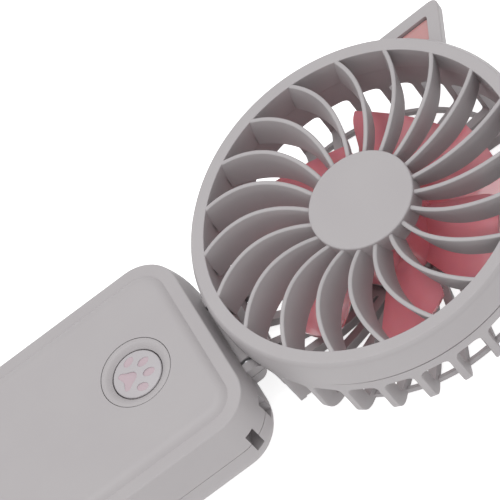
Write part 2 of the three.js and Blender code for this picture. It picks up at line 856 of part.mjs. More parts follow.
function buildGrille() {
  const ring = solid(ringOf([
    [ringWallRadius, headParting + seam / 2],
    [ringWallRadius - ringDraft, headHeight - ringEdgeDrop],
    [ringFaceRadius + ringEdgeRound, headHeight - ringEdgeRound],
    [ringFaceRadius - ringEdgeRound, headHeight],
    [ringInnerRadius, headHeight],
    [ringInnerRadius + ringBore, headParting + seam / 2],
    [grooveRadius - grooveWidth / 2, headParting + seam / 2],
    [grooveRadius - grooveWidth / 2, headParting + grooveDepth],
    [grooveRadius + grooveWidth / 2, headParting + grooveDepth],
    [grooveRadius + grooveWidth / 2, headParting + seam / 2],
  ], fineSteps));
  const hubFace = headHeight - faceHubDrop;
  const hub = solid(turned([
    [0, hubFace - faceHubWall],
    [faceHubRadius - faceHubWall, hubFace - faceHubWall],
    [faceHubRadius - faceHubWall, hubFace - faceHubDepth],
    [faceHubRadius, hubFace - faceHubDepth],
    [faceHubRadius, hubFace - faceHubEdge],
    [faceHubRadius - faceHubEdge, hubFace],
    [0, hubFace],
  ], hubSteps));
  let whole = ring.add(hub);
  for (let i = 0; i < finCount; i += 1) {
    whole = whole.add(solid(fin(finPhase + 360 * i / finCount)));
  }
  const bored = solid(rod(faceHubRadius - faceHubWall, headParting, hubFace - faceHubWall, hubSteps));
  whole = whole.subtract(bored);
  const wing = ear(earTop - earThickness, earTop);
  const bore = solid(rod(ringWallRadius - ringDraft - earRoot / 4, 0, headHeight, fineSteps));
  const outside = wing.subtract(bore);
  whole = whole.add(outside).add(outside.mirror([1, 0, 0]));
  return surface(whole.translate([0, headY, 0]));
}

function buildInlay(side) {
  const low = earTop - earThickness + earLedgeHeight + seam;
  const plate = extrudeUp(earWindow(-seam), low, low + inlayThickness, fewSteps);
  const placed = side < 0 ? solid(plate) : solid(plate).mirror([1, 0, 0]);
  return surface(placed.translate([0, headY, 0]));
}

// The rear housing: a bowl of one thickness, cut through by windows that leave ribs between them
function bowl() {
  const lipTop = headParting + grooveDepth / 2;
  const lipOut = grooveRadius + grooveWidth / 2 - runningGap / 2;
  const lipIn = grooveRadius - grooveWidth / 2 + runningGap / 2;
  const bandTop = headParting - seam / 2;
  const inside = bandRadius - bandThickness;
  const floor = rearClear + backThickness;
  const reach = bandRadius - housingCorner;
  const chord = housingCorner * Math.SQRT1_2;
  return solid(ringOf([
    [rearHubRadius - rearHubLap, rearClear],
    [reach, rearClear],
    [reach + chord, rearClear + housingCorner - chord],
    [bandRadius, rearClear + housingCorner],
    [bandRadius, bandTop],
    [lipOut, bandTop],
    [lipOut, lipTop],
    [lipIn, lipTop],
    [lipIn, bandTop],
    [inside, bandTop],
    [inside, floor + housingBend],
    [inside - housingBend, floor],
    [rearHubRadius - rearHubLap, floor],
  ], housingSteps));
}

// One window: down the side, round the corner and inwards along the back in a spiral.
function vent(angle) {
  const reach = bandRadius - housingCorner;
  const level = rearClear + housingCorner;
  const outside = housingCorner + cutOverrun;
  const spiral = (radius) => ribSweep * Math.log(reach / radius) / Math.log(reach / rearHubRadius);
  const middle = (reach + rearHubRadius) / 2;
  const stations = [
    [reach, ventTop, 0, ribTopWidth + 2 * ventChamfer],
    [reach, ventTop - ventShoulder, 0, ribTopWidth],
    [reach, level, 0, ribFootWidth],
    [reach, level, 45, ribFootWidth],
    [reach, level, 90, ribBackWidth],
    [middle, level, 90, ribBackWidth],
    [rearHubRadius, level, 90, ribBackWidth],
  ];
  const rings = stations.map(([radius, z, turn, ribWidth]) => {
    const out = Math.cos(rad(turn));
    const down = Math.sin(rad(turn));
    const half = 180 / ventCount - THREE.MathUtils.radToDeg(ribWidth / 2 / (radius + housingCorner * out));
    const shift = spiral(radius);
    const corners = [[ventInside, -half], [outside, -half], [outside, half], [ventInside, half]];
    return corners.map(([depth, way]) => pointAt(radius + depth * out, shift + way, z - depth * down));
  });
  return loft(rings).rotateZ(rad(angle));
}

const rearHubTop = rearClear + rearHubThickness;
const motorFoot = rearHubTop + seam;
const motorTop = motorFoot + motorHeight;

function buildHousing() {
  let whole = bowl();
  for (let i = 0; i < ventCount; i += 1) {
    whole = whole.subtract(solid(vent(ventPhase + 360 * i / ventCount)));
  }
  const barRingRadius = bandRadius - barRingInset;
  whole = whole.add(solid(ringOf([
    [barRingRadius, rearClear],
    [barRingRadius, rearClear + barRingHeight],
    [barRingRadius - barRingWidth, rearClear + barRingHeight],
    [barRingRadius - barRingWidth, rearClear],
  ], housingSteps)));
  whole = whole.add(solid(turned([
    [0, rearClear],
    [rearHubRadius - rearHubEdge, rearClear],
    [rearHubRadius, rearClear + rearHubEdge],
    [rearHubRadius, rearHubTop],
    [motorRadius + seam + seatWall, rearHubTop],
    [motorRadius + seam + seatWall, rearHubTop + seatHeight],
    [motorRadius + seam, rearHubTop + seatHeight],
    [motorRadius + seam, rearHubTop],
    [0, rearHubTop],
  ], hubSteps)));
  const relief = hingeY + tiltRelief - headY;
  const half = recessHalf + tiltReliefSide;
  const belowKnuckle = hingeHeight - knuckleRadius;
  const heel = solid(block(-half, half, relief, relief + hingeHeel, rearClear, ventTop + ventShoulder));
  const beyond = relief - 2 * tiltRelief - knuckleRadius;
  const room = solid(block(-half, half, beyond, relief, -cutOverrun, belowKnuckle));
  const lugRoom = solid(rodAlongX(knuckleRadius + recessGap, knuckleHalf, recessHalf, roundSteps)
    .translate(0, hingeY - headY, hingeHeight));
  whole = whole.add(heel).subtract(room).subtract(lugRoom).subtract(lugRoom.mirror([1, 0, 0]));
  const knuckle = solid(rodAlongX(knuckleRadius, -knuckleHalf, knuckleHalf, roundSteps)
    .translate(0, hingeY - headY, hingeHeight));
  const aboveKnuckle = hingeHeight + knuckleRadius;
  const behind = relief + hingeHeel;
  const neck = solid(block(-knuckleHalf, knuckleHalf, hingeY - headY, behind, belowKnuckle, aboveKnuckle));
  whole = whole.add(knuckle).add(neck);
  const pinBore = rodAlongX(pinRadius + runningGap, -lugInner, lugInner);
  whole = whole.subtract(solid(pinBore.translate(0, hingeY - headY, hingeHeight)));
  for (const side of [-1, 1]) {
    const x = side * motorScrewSpacing / 2;
    const head = rod(smallHeadRadius + runningGap, -cutOverrun, rearClear + smallHeadHeight + seam);
    const shank = rod(smallScrewRadius + seam, -cutOverrun, rearHubTop + cutOverrun);
    whole = whole.subtract(solid(head.translate(x, 0, 0))).subtract(solid(shank.translate(x, 0, 0)));
  }
  return surface(whole.translate([0, headY, 0]));
}

function buildMotorScrew(side) {
  const seat = rearClear + smallHeadHeight;
  const shaft = screw(smallHeadRadius, smallHeadHeight, smallScrewRadius, motorFoot + endCapThickness - seat);
  return shaft.translate(side * motorScrewSpacing / 2, headY, seat);
}

function buildMotorCan() {
  const inside = motorRadius - motorWall;
  return ringOf([
    [inside, motorFoot],
    [motorRadius, motorFoot],
    [motorRadius, motorTop - motorWall],
    [motorRadius - motorWall, motorTop],
    [motorNeckRadius, motorTop],
    [motorNeckRadius, motorTop + motorNeckHeight],
    [bushRadius + seam, motorTop + motorNeckHeight],
    [bushRadius + seam, motorTop - motorWall],
    [inside, motorTop - motorWall],
  ], hubSteps).translate(0, headY, 0);
}

function buildBush(low) {
  return ringOf([
    [shaftRadius + seam, low],
    [bushRadius, low],
    [bushRadius, low + bushLength],
    [shaftRadius + seam, low + bushLength],
  ], smallSteps).translate(0, headY, 0);
}

function buildEndCap() {
  let cap = solid(rod(motorRadius - motorWall - seam, motorFoot, motorFoot + endCapThickness, hubSteps));
  const [below, above] = [motorFoot - cutOverrun, motorFoot + endCapThickness + cutOverrun];
  cap = cap.subtract(solid(rod(bushRadius + seam, below, above)));
  for (const side of [-1, 1]) {
    const hole = rod(smallScrewRadius + seam, below, above);
    cap = cap.subtract(solid(hole.translate(side * motorScrewSpacing / 2, 0, 0)));
  }
  return surface(cap.translate([0, headY, 0]));
}

const armatureLow = motorFoot + (motorHeight - armatureHeight) / 2 + motorWall;

function buildMagnet(turn) {
  const outer = motorRadius - motorWall - seam;
  const inner = outer - magnetThickness;
  const half = rad(magnetSpan / 2);
  const shape = new THREE.Shape();
  shape.absarc(0, 0, outer, turn - half, turn + half, false);
  shape.absarc(0, 0, inner, turn + half, turn - half, true);
  shape.closePath();
  return extrudeUp(shape, armatureLow, armatureLow + armatureHeight, arcSteps).translate(0, headY, 0);
}

function buildArmature() {
  const shape = new THREE.Shape();
  const half = poleNeck / 2;
  const span = rad(poleSpan / 2);
  const capIn = armatureRadius - poleCap;
  const root = poleNeck;
  for (let i = 0; i < 3; i += 1) {
    const turn = rad(120 * i);
    const [cos, sin] = [Math.cos(turn), Math.sin(turn)];
    const place = (x, y) => [x * cos - y * sin, x * sin + y * cos];
    const first = place(root, -half);
    if (i === 0) shape.moveTo(...first);
    else shape.lineTo(...first);
    shape.lineTo(...place(capIn, -half));
    shape.lineTo(...place(capIn * Math.cos(span), -capIn * Math.sin(span)));
    shape.absarc(0, 0, armatureRadius, turn - span, turn + span, false);
    shape.lineTo(...place(capIn * Math.cos(span), capIn * Math.sin(span)));
    shape.lineTo(...place(capIn, half));
    shape.lineTo(...place(root, half));
  }
  shape.closePath();
  const high = armatureLow + armatureHeight;
  const core = solid(extrudeUp(shape, armatureLow, high, fewSteps));
  const bore = solid(rod(shaftRadius + seam, armatureLow - cutOverrun, high + cutOverrun));
  return surface(core.subtract(bore).translate([0, headY, 0]));
}

function buildCommutator() {
  const low = motorFoot + bushLength + runningGap;
  return ringOf([
    [shaftRadius + seam, low],
    [commutatorRadius, low],
    [commutatorRadius, armatureLow - runningGap],
    [shaftRadius + seam, armatureLow - runningGap],
  ], smallSteps).translate(0, headY, 0);
}

function buildShaft() {
  const top = impellerHubTop - impellerHubWall / 2 - seam;
  return rod(shaftRadius, motorFoot + runningGap, top).translate(0, headY, 0);
}

// One blade: thin sections wrapped on cylinders from the hub to the rounded tip
function blade(angle) {
  const rings = [];
  const rootRadius = impellerHubRadius - impellerHubWall / 2;
  for (let i = 0; i <= bladeSpans; i += 1) {
    const share = Math.sin(Math.PI / 2 * i / bladeSpans);
    const radius = rootRadius + (bladeTipRadius - rootRadius) * share;
    const top = bladeRootTop + (bladeTipTop - bladeRootTop) * share;
    const foot = bladeRootFoot + (bladeTipFoot - bladeRootFoot) * share;
    const round = bladeTipRound * share ** 8;
    const start = bladeLead * share - round;
    const end = round - bladeTurn;
    const front = [];
    const back = [];
    for (let k = 0; k <= bladeSteps; k += 1) {
      const chord = k / bladeSteps;
      const turn = start + (end - start) * chord;
      const z = top + (foot - top) * chord - bladeSag * 4 * chord * (1 - chord);
      const thick = bladeThickness / 2 * (1 - bladeTaper * Math.abs(2 * chord - 1));
      front.push(pointAt(radius, turn, z + thick));
      back.unshift(pointAt(radius, turn, z - thick));
    }
    rings.push([...front, ...back]);
  }
  return loft(rings).rotateZ(rad(angle));
}

function buildImpeller() {
  const inside = impellerHubRadius - impellerHubWall;
  const under = impellerHubTop - impellerHubWall;
  const bossFoot = under - impellerBossLength;
  const hub = solid(turned([
    [0, bossFoot],
    [impellerBossRadius, bossFoot],
    [impellerBossRadius, under],
    [inside, under],
    [inside, impellerHubFoot],
    [impellerHubRadius, impellerHubFoot],
    [impellerHubRadius, impellerHubTop - faceHubEdge],
    [impellerHubRadius - faceHubEdge, impellerHubTop],
    [0, impellerHubTop],
  ], hubSteps));
  const bore = solid(rod(shaftRadius + seam, bossFoot - cutOverrun, impellerHubTop - impellerHubWall / 2));
  const core = solid(rod(inside, impellerHubFoot - cutOverrun, under, hubSteps));
  let whole = solid(blade(bladePhase));
  for (let i = 1; i < bladeCount; i += 1) {
    whole = whole.add(solid(blade(bladePhase + 360 * i / bladeCount)));
  }
  whole = whole.subtract(core).add(hub).subtract(bore);
  return surface(whole.translate([0, headY, 0]));
}

// Finishes, in the colours of the object
const shellGrey = { color: 0xbbb7b8, roughness: 0.55, metalness: 0 };
const buttonGrey = { color: 0xc4c0c2, roughness: 0.4, metalness: 0 };
const pinkPlastic = { color: 0xc0606c, roughness: 0.3, metalness: 0 };
const earPink = { color: 0xc98f93, roughness: 0.25, metalness: 0 };
const blackPlastic = { color: 0x26262a, roughness: 0.6, metalness: 0 };
const boardGreen = { color: 0x1f5a38, roughness: 0.5, metalness: 0 };
const steel = { color: 0xb4b6b8, roughness: 0.35, metalness: 1 };
const copper = { color: 0xb5713c, roughness: 0.35, metalness: 1 };
const bronze = { color: 0x9c7a48, roughness: 0.45, metalness: 1 };
const magnetGrey = { color: 0x3b3b3f, roughness: 0.7, metalness: 0.2 };
const cellBlue = { color: 0x3f6fa8, roughness: 0.4, metalness: 0 };

const handle = new THREE.Group();
const head = new THREE.Group();
const rotor = new THREE.Group();
const button = new THREE.Group();

function piece(parent, name, geometry, finish) {
  const mesh = new THREE.Mesh(geometry, new THREE.MeshStandardMaterial(finish));
  mesh.name = name;
  parent.add(mesh);
}

piece(handle, 'front_cover', buildFrontCover(), shellGrey);
piece(handle, 'rear_cover', buildRearCover(), shellGrey);
screwPlaces.forEach((place, i) => piece(handle, `cover_screw_${i + 1}`, buildCoverScrew(place), steel));
piece(handle, 'button_bezel', buildBezel(), shellGrey);
piece(handle, 'circuit_board', buildBoard(), boardGreen);
boardScrews.forEach((x, i) => piece(handle, `board_screw_${i + 1}`, buildBoardScrew(x), steel));
piece(handle, 'tact_switch', buildSwitch(), blackPlastic);
piece(handle, 'charging_socket', buildSocket(), steel);
piece(handle, 'battery_cell_left', buildCell(-1), cellBlue);
piece(handle, 'battery_cell_right', buildCell(1), cellBlue);
piece(handle, 'cell_strap_far', buildStrap(cellEndY - seam - strapThickness), steel);
piece(handle, 'cell_strap_near', buildStrap(cellEndY + cellLength + seam), steel);
piece(handle, 'hinge_pin', buildPin(), steel);
piece(handle, 'hinge_washer_left', buildWasher(-1), steel);
piece(handle, 'hinge_washer_right', buildWasher(1), steel);

piece(button, 'power_button', buildButton(), buttonGrey);
piece(button, 'switch_plunger', buildPlunger(), blackPlastic);

piece(head, 'front_grille', buildGrille(), shellGrey);
piece(head, 'ear_inlay_left', buildInlay(-1), earPink);
piece(head, 'ear_inlay_right', buildInlay(1), earPink);
piece(head, 'rear_housing', buildHousing(), shellGrey);
[-1, 1].forEach((side, i) => piece(head, `motor_screw_${i + 1}`, buildMotorScrew(side), steel));
piece(head, 'motor_can', buildMotorCan(), steel);
piece(head, 'motor_end_cap', buildEndCap(), blackPlastic);
piece(head, 'magnet_left', buildMagnet(Math.PI), magnetGrey);
piece(head, 'magnet_right', buildMagnet(0), magnetGrey);
piece(head, 'front_bush', buildBush(motorTop + motorNeckHeight - bushLength), bronze);
piece(head, 'rear_bush', buildBush(motorFoot), bronze);

piece(rotor, 'motor_shaft', buildShaft(), steel);
piece(rotor, 'armature_core', buildArmature(), magnetGrey);
piece(rotor, 'commutator', buildCommutator(), copper);
piece(rotor, 'impeller', buildImpeller(), pinkPlastic);

head.add(rotor);
handle.add(button);
const fan = new THREE.Group();
fan.add(handle, head);

export default fan;
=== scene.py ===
"""A handheld folding fan, dressed and lit for a plain studio picture.

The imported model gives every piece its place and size. This script gives each piece its surface: fine meshes
for the moulded shells, the grille, the ribs and the impeller, and a procedural material for every piece.
All sizes in the classes are millimetres, and meshes are written in metres.
"""

import logging
import math
from dataclasses import dataclass, field
from enum import Enum
from typing import Any, Callable, Sequence

import bmesh
import bpy
from mathutils import Matrix, Vector


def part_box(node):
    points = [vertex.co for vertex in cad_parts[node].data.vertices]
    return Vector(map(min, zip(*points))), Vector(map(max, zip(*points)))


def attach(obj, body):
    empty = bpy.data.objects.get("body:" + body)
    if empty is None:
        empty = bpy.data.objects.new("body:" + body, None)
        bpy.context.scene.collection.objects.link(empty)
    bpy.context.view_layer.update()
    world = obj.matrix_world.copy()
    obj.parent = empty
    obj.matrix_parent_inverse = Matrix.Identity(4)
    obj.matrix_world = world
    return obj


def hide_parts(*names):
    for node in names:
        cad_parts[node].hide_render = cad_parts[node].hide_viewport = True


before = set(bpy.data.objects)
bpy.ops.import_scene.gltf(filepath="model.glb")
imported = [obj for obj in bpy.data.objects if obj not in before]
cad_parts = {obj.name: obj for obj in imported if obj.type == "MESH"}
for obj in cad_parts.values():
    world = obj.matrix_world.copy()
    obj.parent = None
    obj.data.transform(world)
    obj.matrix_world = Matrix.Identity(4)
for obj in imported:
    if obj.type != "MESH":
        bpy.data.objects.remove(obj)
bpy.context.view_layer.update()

LOG = logging.getLogger("fan_scene")
MM = 0.001
# The gap between pieces that meet, and how far a tool runs past what it cuts.
SEAM = 0.15
OVER = 1.0
# Sides of a full turn on small, middling and large round pieces.
SMALL_TURN = 48
TURN = 96
WIDE_TURN = 192
AXIS = Vector((0.0, 0.0, 0.0))
Point2 = tuple[float, float]
Point3 = tuple[float, float, float]
Rings = list[list[Vector]]


class Body(str, Enum):
    """The moving bodies of the fan."""

    HANDLE = "handle"
    BUTTON = "button"
    HEAD = "fan_head"
    ROTOR = "rotor"


class Slot(str, Enum):
    """The material slots that the record names."""

    SHELL = "shell"
    BUTTON = "button"
    IMPELLER = "impeller"
    EAR = "ear_inlay"
    BLACK = "black_plastic"
    BOARD = "board"
    STEEL = "steel"
    COPPER = "copper"
    BRONZE = "bronze"
    MAGNET = "magnet"
    CELL = "cell"


def linear(hex_colour: str) -> tuple[float, float, float, float]:
    """Turns an sRGB hex colour into linear light.

    Args:
        hex_colour: A colour such as "#bbb7b8".

    Returns:
        Red, green, blue and alpha in linear light.
    """
    values = [int(hex_colour[i:i + 2], 16) / 255 for i in (1, 3, 5)]
    light = [v / 12.92 if v <= 0.04045 else ((v + 0.055) / 1.055) ** 2.4 for v in values]
    return (light[0], light[1], light[2], 1.0)


def add_node(tree: bpy.types.NodeTree, kind: str, settings: dict[str, Any] | None = None,
             links: dict[str, bpy.types.NodeSocket] | None = None) -> bpy.types.Node:
    """Adds one shader node with its settings and links.

    Args:
        tree: The material's or world's node tree.
        kind: The node's type name, such as "ShaderNodeBump".
        settings: Values by property name, or by input socket name or index.
        links: Output sockets by the name or index of the input that they feed.

    Returns:
        The new node.
    """
    node = tree.nodes.new(kind)
    for name, value in (settings or {}).items():
        if isinstance(name, str) and name in node.bl_rna.properties:
            setattr(node, name, value)
        else:
            node.inputs[name].default_value = value
    for name, socket in (links or {}).items():
        tree.links.new(socket, node.inputs[name])
    return node


def blank_material(name: str) -> tuple[bpy.types.Material, bpy.types.NodeTree,
                                       bpy.types.NodeSocket, bpy.types.NodeSocket]:
    """Makes an empty material.

    Args:
        name: The material's name.

    Returns:
        The material, its node tree, the output's surface socket and a socket with the object's own places.
    """
    material = bpy.data.materials.new(name)
    material.use_nodes = True
    tree = material.node_tree
    tree.nodes.clear()
    surface = add_node(tree, "ShaderNodeOutputMaterial").inputs["Surface"]
    place = add_node(tree, "ShaderNodeTexCoord").outputs["Object"]
    return material, tree, surface, place


class Carve(str, Enum):
    """How a tool changes a piece."""

    CUT = "DIFFERENCE"
    ADD = "UNION"
    KEEP = "INTERSECT"


def polar(radius: float, degrees: float, z: float) -> Vector:
    """Gives the point at a radius and an angle about the Z axis."""
    angle = math.radians(degrees)
    return Vector((radius * math.cos(angle), radius * math.sin(angle), z))


def share_range(count: int) -> list[float]:
    """Gives evenly spaced shares from 0 to 1, both included."""
    return [i / count for i in range(count + 1)]


def arc(centre: Point2, radius: float, start: float, end: float, steps: int) -> list[Point2]:
    """Gives points along an arc in a profile.

    Args:
        centre: The arc's centre as (radius, height) or (inset, height).
        radius: The arc's own radius.
        start: The first angle in degrees.
        end: The last angle in degrees.
        steps: How many stretches the arc is cut into.

    Returns:
        The points, both ends included.
    """
    points = []
    for share in share_range(steps):
        angle = math.radians(start + (end - start) * share)
        points.append((centre[0] + radius * math.cos(angle), centre[1] + radius * math.sin(angle)))
    return points


def top_edge(radius: float, height: float, edge: float, steps: int) -> list[Point2]:
    """Rounds the upper outer edge of a turned profile, from its side to its top."""
    return arc((radius - edge, height - edge), edge, 0, 90, steps)


def foot_edge(radius: float, height: float, edge: float, steps: int) -> list[Point2]:
    """Rounds the lower outer edge of a turned profile, from its foot to its side."""
    return arc((radius - edge, height + edge), edge, -90, 0, steps)


def add_object(name: str, data: bpy.types.ID) -> bpy.types.Object:
    """Makes an object of a mesh, lamp or camera and links it to the scene.

    Args:
        name: The object's name.
        data: What it holds.

    Returns:
        The new object.
    """
    made = bpy.data.objects.new(name, data)
    bpy.context.scene.collection.objects.link(made)
    return made


def piece_from(name: str, builder: Callable[[bmesh.types.BMesh], None]) -> bpy.types.Object:
    """Makes a mesh object from a function that fills a bmesh in millimetres.

    Args:
        name: The piece's name.
        builder: Adds the vertices and faces.

    Returns:
        The new object, linked to the scene, in metres.
    """
    shape = bmesh.new()
    builder(shape)
    bmesh.ops.recalc_face_normals(shape, faces=shape.faces)
    bmesh.ops.scale(shape, vec=(MM, MM, MM), verts=shape.verts)
    mesh = bpy.data.meshes.new(name)
    shape.to_mesh(mesh)
    shape.free()
    return add_object(name, mesh)


def loft(name: str, rings: Rings, closed: bool = False) -> bpy.types.Object:
    """Stretches a skin over rings of points that have the same count.

    Args:
        name: The piece's name.
        rings: The rings, in order.
        closed: Whether the last ring joins the first one, instead of both ends being capped.

    Returns:
        The new object.
    """
    def build(shape: bmesh.types.BMesh) -> None:
        """Adds the skin's vertices and faces.

        Args:
            shape: The empty bmesh.
        """
        rows = [[shape.verts.new(point) for point in ring] for ring in rings]
        count = len(rows[0])
        pairs = list(zip(rows, rows[1:])) + ([(rows[-1], rows[0])] if closed else [])
        for low, high in pairs:
            for i in range(count):
                j = (i + 1) % count
                shape.faces.new((low[i], low[j], high[j], high[i]))
        if not closed:
            shape.faces.new(list(reversed(rows[0])))
            shape.faces.new(rows[-1])

    return piece_from(name, build)


def lathe(name: str, profile: Sequence[Point2], steps: int = TURN, centre: Vector = AXIS,
          closed: bool = False) -> bpy.types.Object:
    """Turns a profile about a line along Z.

    Args:
        name: The piece's name.
        profile: Points as (radius, height). It starts and ends on the axis, unless it closes on itself.
        steps: How many sides a full turn has.
        centre: Where the axis crosses height 0.
        closed: Whether the last point joins the first one.

    Returns:
        The new object.
    """
    def build(shape: bmesh.types.BMesh) -> None:
        """Adds one ring of vertices for each profile point and the faces between rings.

        Args:
            shape: The empty bmesh.
        """
        rows = []
        for radius, height in profile:
            turns = steps if radius > 0 else 1
            spots = [centre + polar(radius, 360 * i / steps, height) for i in range(turns)]
            rows.append([shape.verts.new(spot) for spot in spots])
        pairs = list(zip(rows, rows[1:])) + ([(rows[-1], rows[0])] if closed else [])
        for low, high in pairs:
            for i in range(steps):
                j = (i + 1) % steps
                corners = [low[i % len(low)], low[j % len(low)], high[j % len(high)], high[i % len(high)]]
                unique = list(dict.fromkeys(corners))
                if len(unique) > 2:
                    shape.faces.new(unique)

    return piece_from(name, build)


def prism(name: str, outline: Sequence[Point2], low: float, high: float, bevel: float = 0.0,
          bevel_steps: int = 3) -> bpy.types.Object:
    """Raises an outline straight up, with rounded edges where a bevel is given.

    Args:
        name: The piece's name.
        outline: The outline's points, in order.
        low: The lower height.
        high: The upper height.
        bevel: The radius of both edges.
        bevel_steps: How many stretches each rounded edge has.

    Returns:
        The new object.
    """
    levels = [(0.0, low), (0.0, high)]
    if bevel > 0:
        rise = [(bevel - x, bevel - y) for y, x in arc((0, 0), bevel, 0, 90, bevel_steps)]
        levels = [(inset, low + up) for inset, up in rise]
        levels += [(inset, high - up) for inset, up in reversed(rise)]
    return loft(name, [[Vector((x, y, z)) for x, y in drawn_in(outline, inset)] for inset, z in levels])


def drawn_in(outline: Sequence[Point2], inset: float) -> list[Point2]:
    """Moves every point of a closed outline inwards along the bisector of its two sides.

    Args:
        outline: The outline's points, in either direction.
        inset: How far the sides move in.

    Returns:
        The smaller outline, with as many points.
    """
    points = [Vector(point) for point in outline]
    ahead = points[1:] + points[:1]
    turn = 1 if sum(a.cross(b) for a, b in zip(points, ahead)) > 0 else -1
    sharpest = 0.3
    moved = []
    for i, point in enumerate(points):
        before = (point - points[i - 1]).normalized()
        after = (ahead[i] - point).normalized()
        normal = Vector((-before.y - after.y, before.x + after.x)).normalized() * turn
        stretch = max(sharpest, normal.dot(Vector((-before.y, before.x)) * turn))
        moved.append(tuple(point + normal * (inset / stretch)))
    return moved


def rod_x(name: str, radius: float, start: float, end: float, centre: Vector) -> bpy.types.Object:
    """Makes a round bar along X.

    Args:
        name: The piece's name.
        radius: The bar's radius.
        start: The X of its first end.
        end: The X of its last end.
        centre: A point on its axis; only Y and Z count.

    Returns:
        The new object.
    """
    ring = [polar(radius, 360 * i / SMALL_TURN, 0.0) for i in range(SMALL_TURN)]
    return loft(name, [[Vector((x, centre.y + p.x, centre.z + p.y)) for p in ring] for x in (start, end)])


def box(name: str, low: Sequence[float], high: Sequence[float]) -> bpy.types.Object:
    """Makes a block between two corners, for cutting and joining."""
    outline = [(low[0], low[1]), (high[0], low[1]), (high[0], high[1]), (low[0], high[1])]
    return prism(name, outline, low[2], high[2])


def disc(name: str, radius: float, low: float, high: float, centre: Vector = AXIS,
         steps: int = SMALL_TURN) -> bpy.types.Object:
    """Makes an upright round bar, for cutting and joining."""
    return lathe(name, [(0.0, low), (radius, low), (radius, high), (0.0, high)], steps, centre)


def tube(name: str, radii: Point2, low: float, high: float, centre: Vector = AXIS,
         steps: int = WIDE_TURN) -> bpy.types.Object:
    """Makes an upright ring between two radii, for cutting and joining.

    Args:
        name: The piece's name.
        radii: The inner and the outer radius.
        low: The lower height.
        high: The upper height.
        centre: Where its axis crosses height 0.
        steps: How many sides a full turn has.

    Returns:
        The new object.
    """
    inner, outer = radii
    profile = [(inner, low), (outer, low), (outer, high), (inner, high)]
    return lathe(name, profile, steps, centre, closed=True)


def merge(pieces: Sequence[bpy.types.Object]) -> bpy.types.Object:
    """Puts pieces that lie apart into one mesh.

    Args:
        pieces: The pieces. All but the first are used up.

    Returns:
        The first piece, which holds them all.
    """
    shape = bmesh.new()
    for piece in pieces:
        shape.from_mesh(piece.data)
    shape.to_mesh(pieces[0].data)
    shape.free()
    for piece in pieces[1:]:
        bpy.data.objects.remove(piece)
    return pieces[0]


def carve(piece: bpy.types.Object, *tools: bpy.types.Object, how: Carve = Carve.CUT) -> bpy.types.Object:
    """Cuts tools out of a piece one after another, or joins them on, and uses them up.

    Args:
        piece: The piece that changes.
        tools: The other closed meshes.
        how: Whether the tools are cut out, added or all that is kept.

    Returns:
        The piece.
    """
    for tool in tools:
        modifier = piece.modifiers.new("carve", "BOOLEAN")
        modifier.operation = how.value
        modifier.solver = "MANIFOLD"
        modifier.object = tool
        view = bpy.context.evaluated_depsgraph_get()
        carved = bpy.data.meshes.new_from_object(piece.evaluated_get(view))
        piece.modifiers.clear()
        piece.data, plain = carved, piece.data
        bpy.data.meshes.remove(plain)
        bpy.data.objects.remove(tool)
    return piece


def join(piece: bpy.types.Object, *tools: bpy.types.Object) -> bpy.types.Object:
    """Joins other closed meshes onto a piece and uses them up."""
    return carve(piece, *tools, how=Carve.ADD)


def smooth(piece: bpy.types.Object, sharp: float) -> None:
    """Shades a piece smooth and keeps its edges crisp.

    Args:
        piece: The finished mesh.
        sharp: The angle in degrees above which an edge stays crisp.
    """
    shortest = 1e-7
    shape = bmesh.new()
    shape.from_mesh(piece.data)
    bmesh.ops.dissolve_degenerate(shape, dist=shortest, edges=shape.edges)
    shape.to_mesh(piece.data)
    shape.free()
    piece.data.shade_smooth()
    piece.data.set_sharp_from_angle(angle=math.radians(sharp))
    even = piece.modifiers.new("even_normals", "WEIGHTED_NORMAL")
    even.keep_sharp = True


def shift(piece: bpy.types.Object, offset: Vector) -> None:
    """Moves a piece's mesh by an offset in millimetres."""
    piece.data.transform(Matrix.Translation(offset * MM))


def node_box(name: str) -> tuple[Vector, Vector]:
    """Gives a node's lowest and highest corners in millimetres."""
    low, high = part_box(name)
    return low / MM, high / MM


def node_axis(name: str) -> Vector:
    """Gives the point at height 0 on the upright line through a node's middle."""
    low, high = node_box(name)
    return Vector(((low.x + high.x) / 2, (low.y + high.y) / 2, 0))


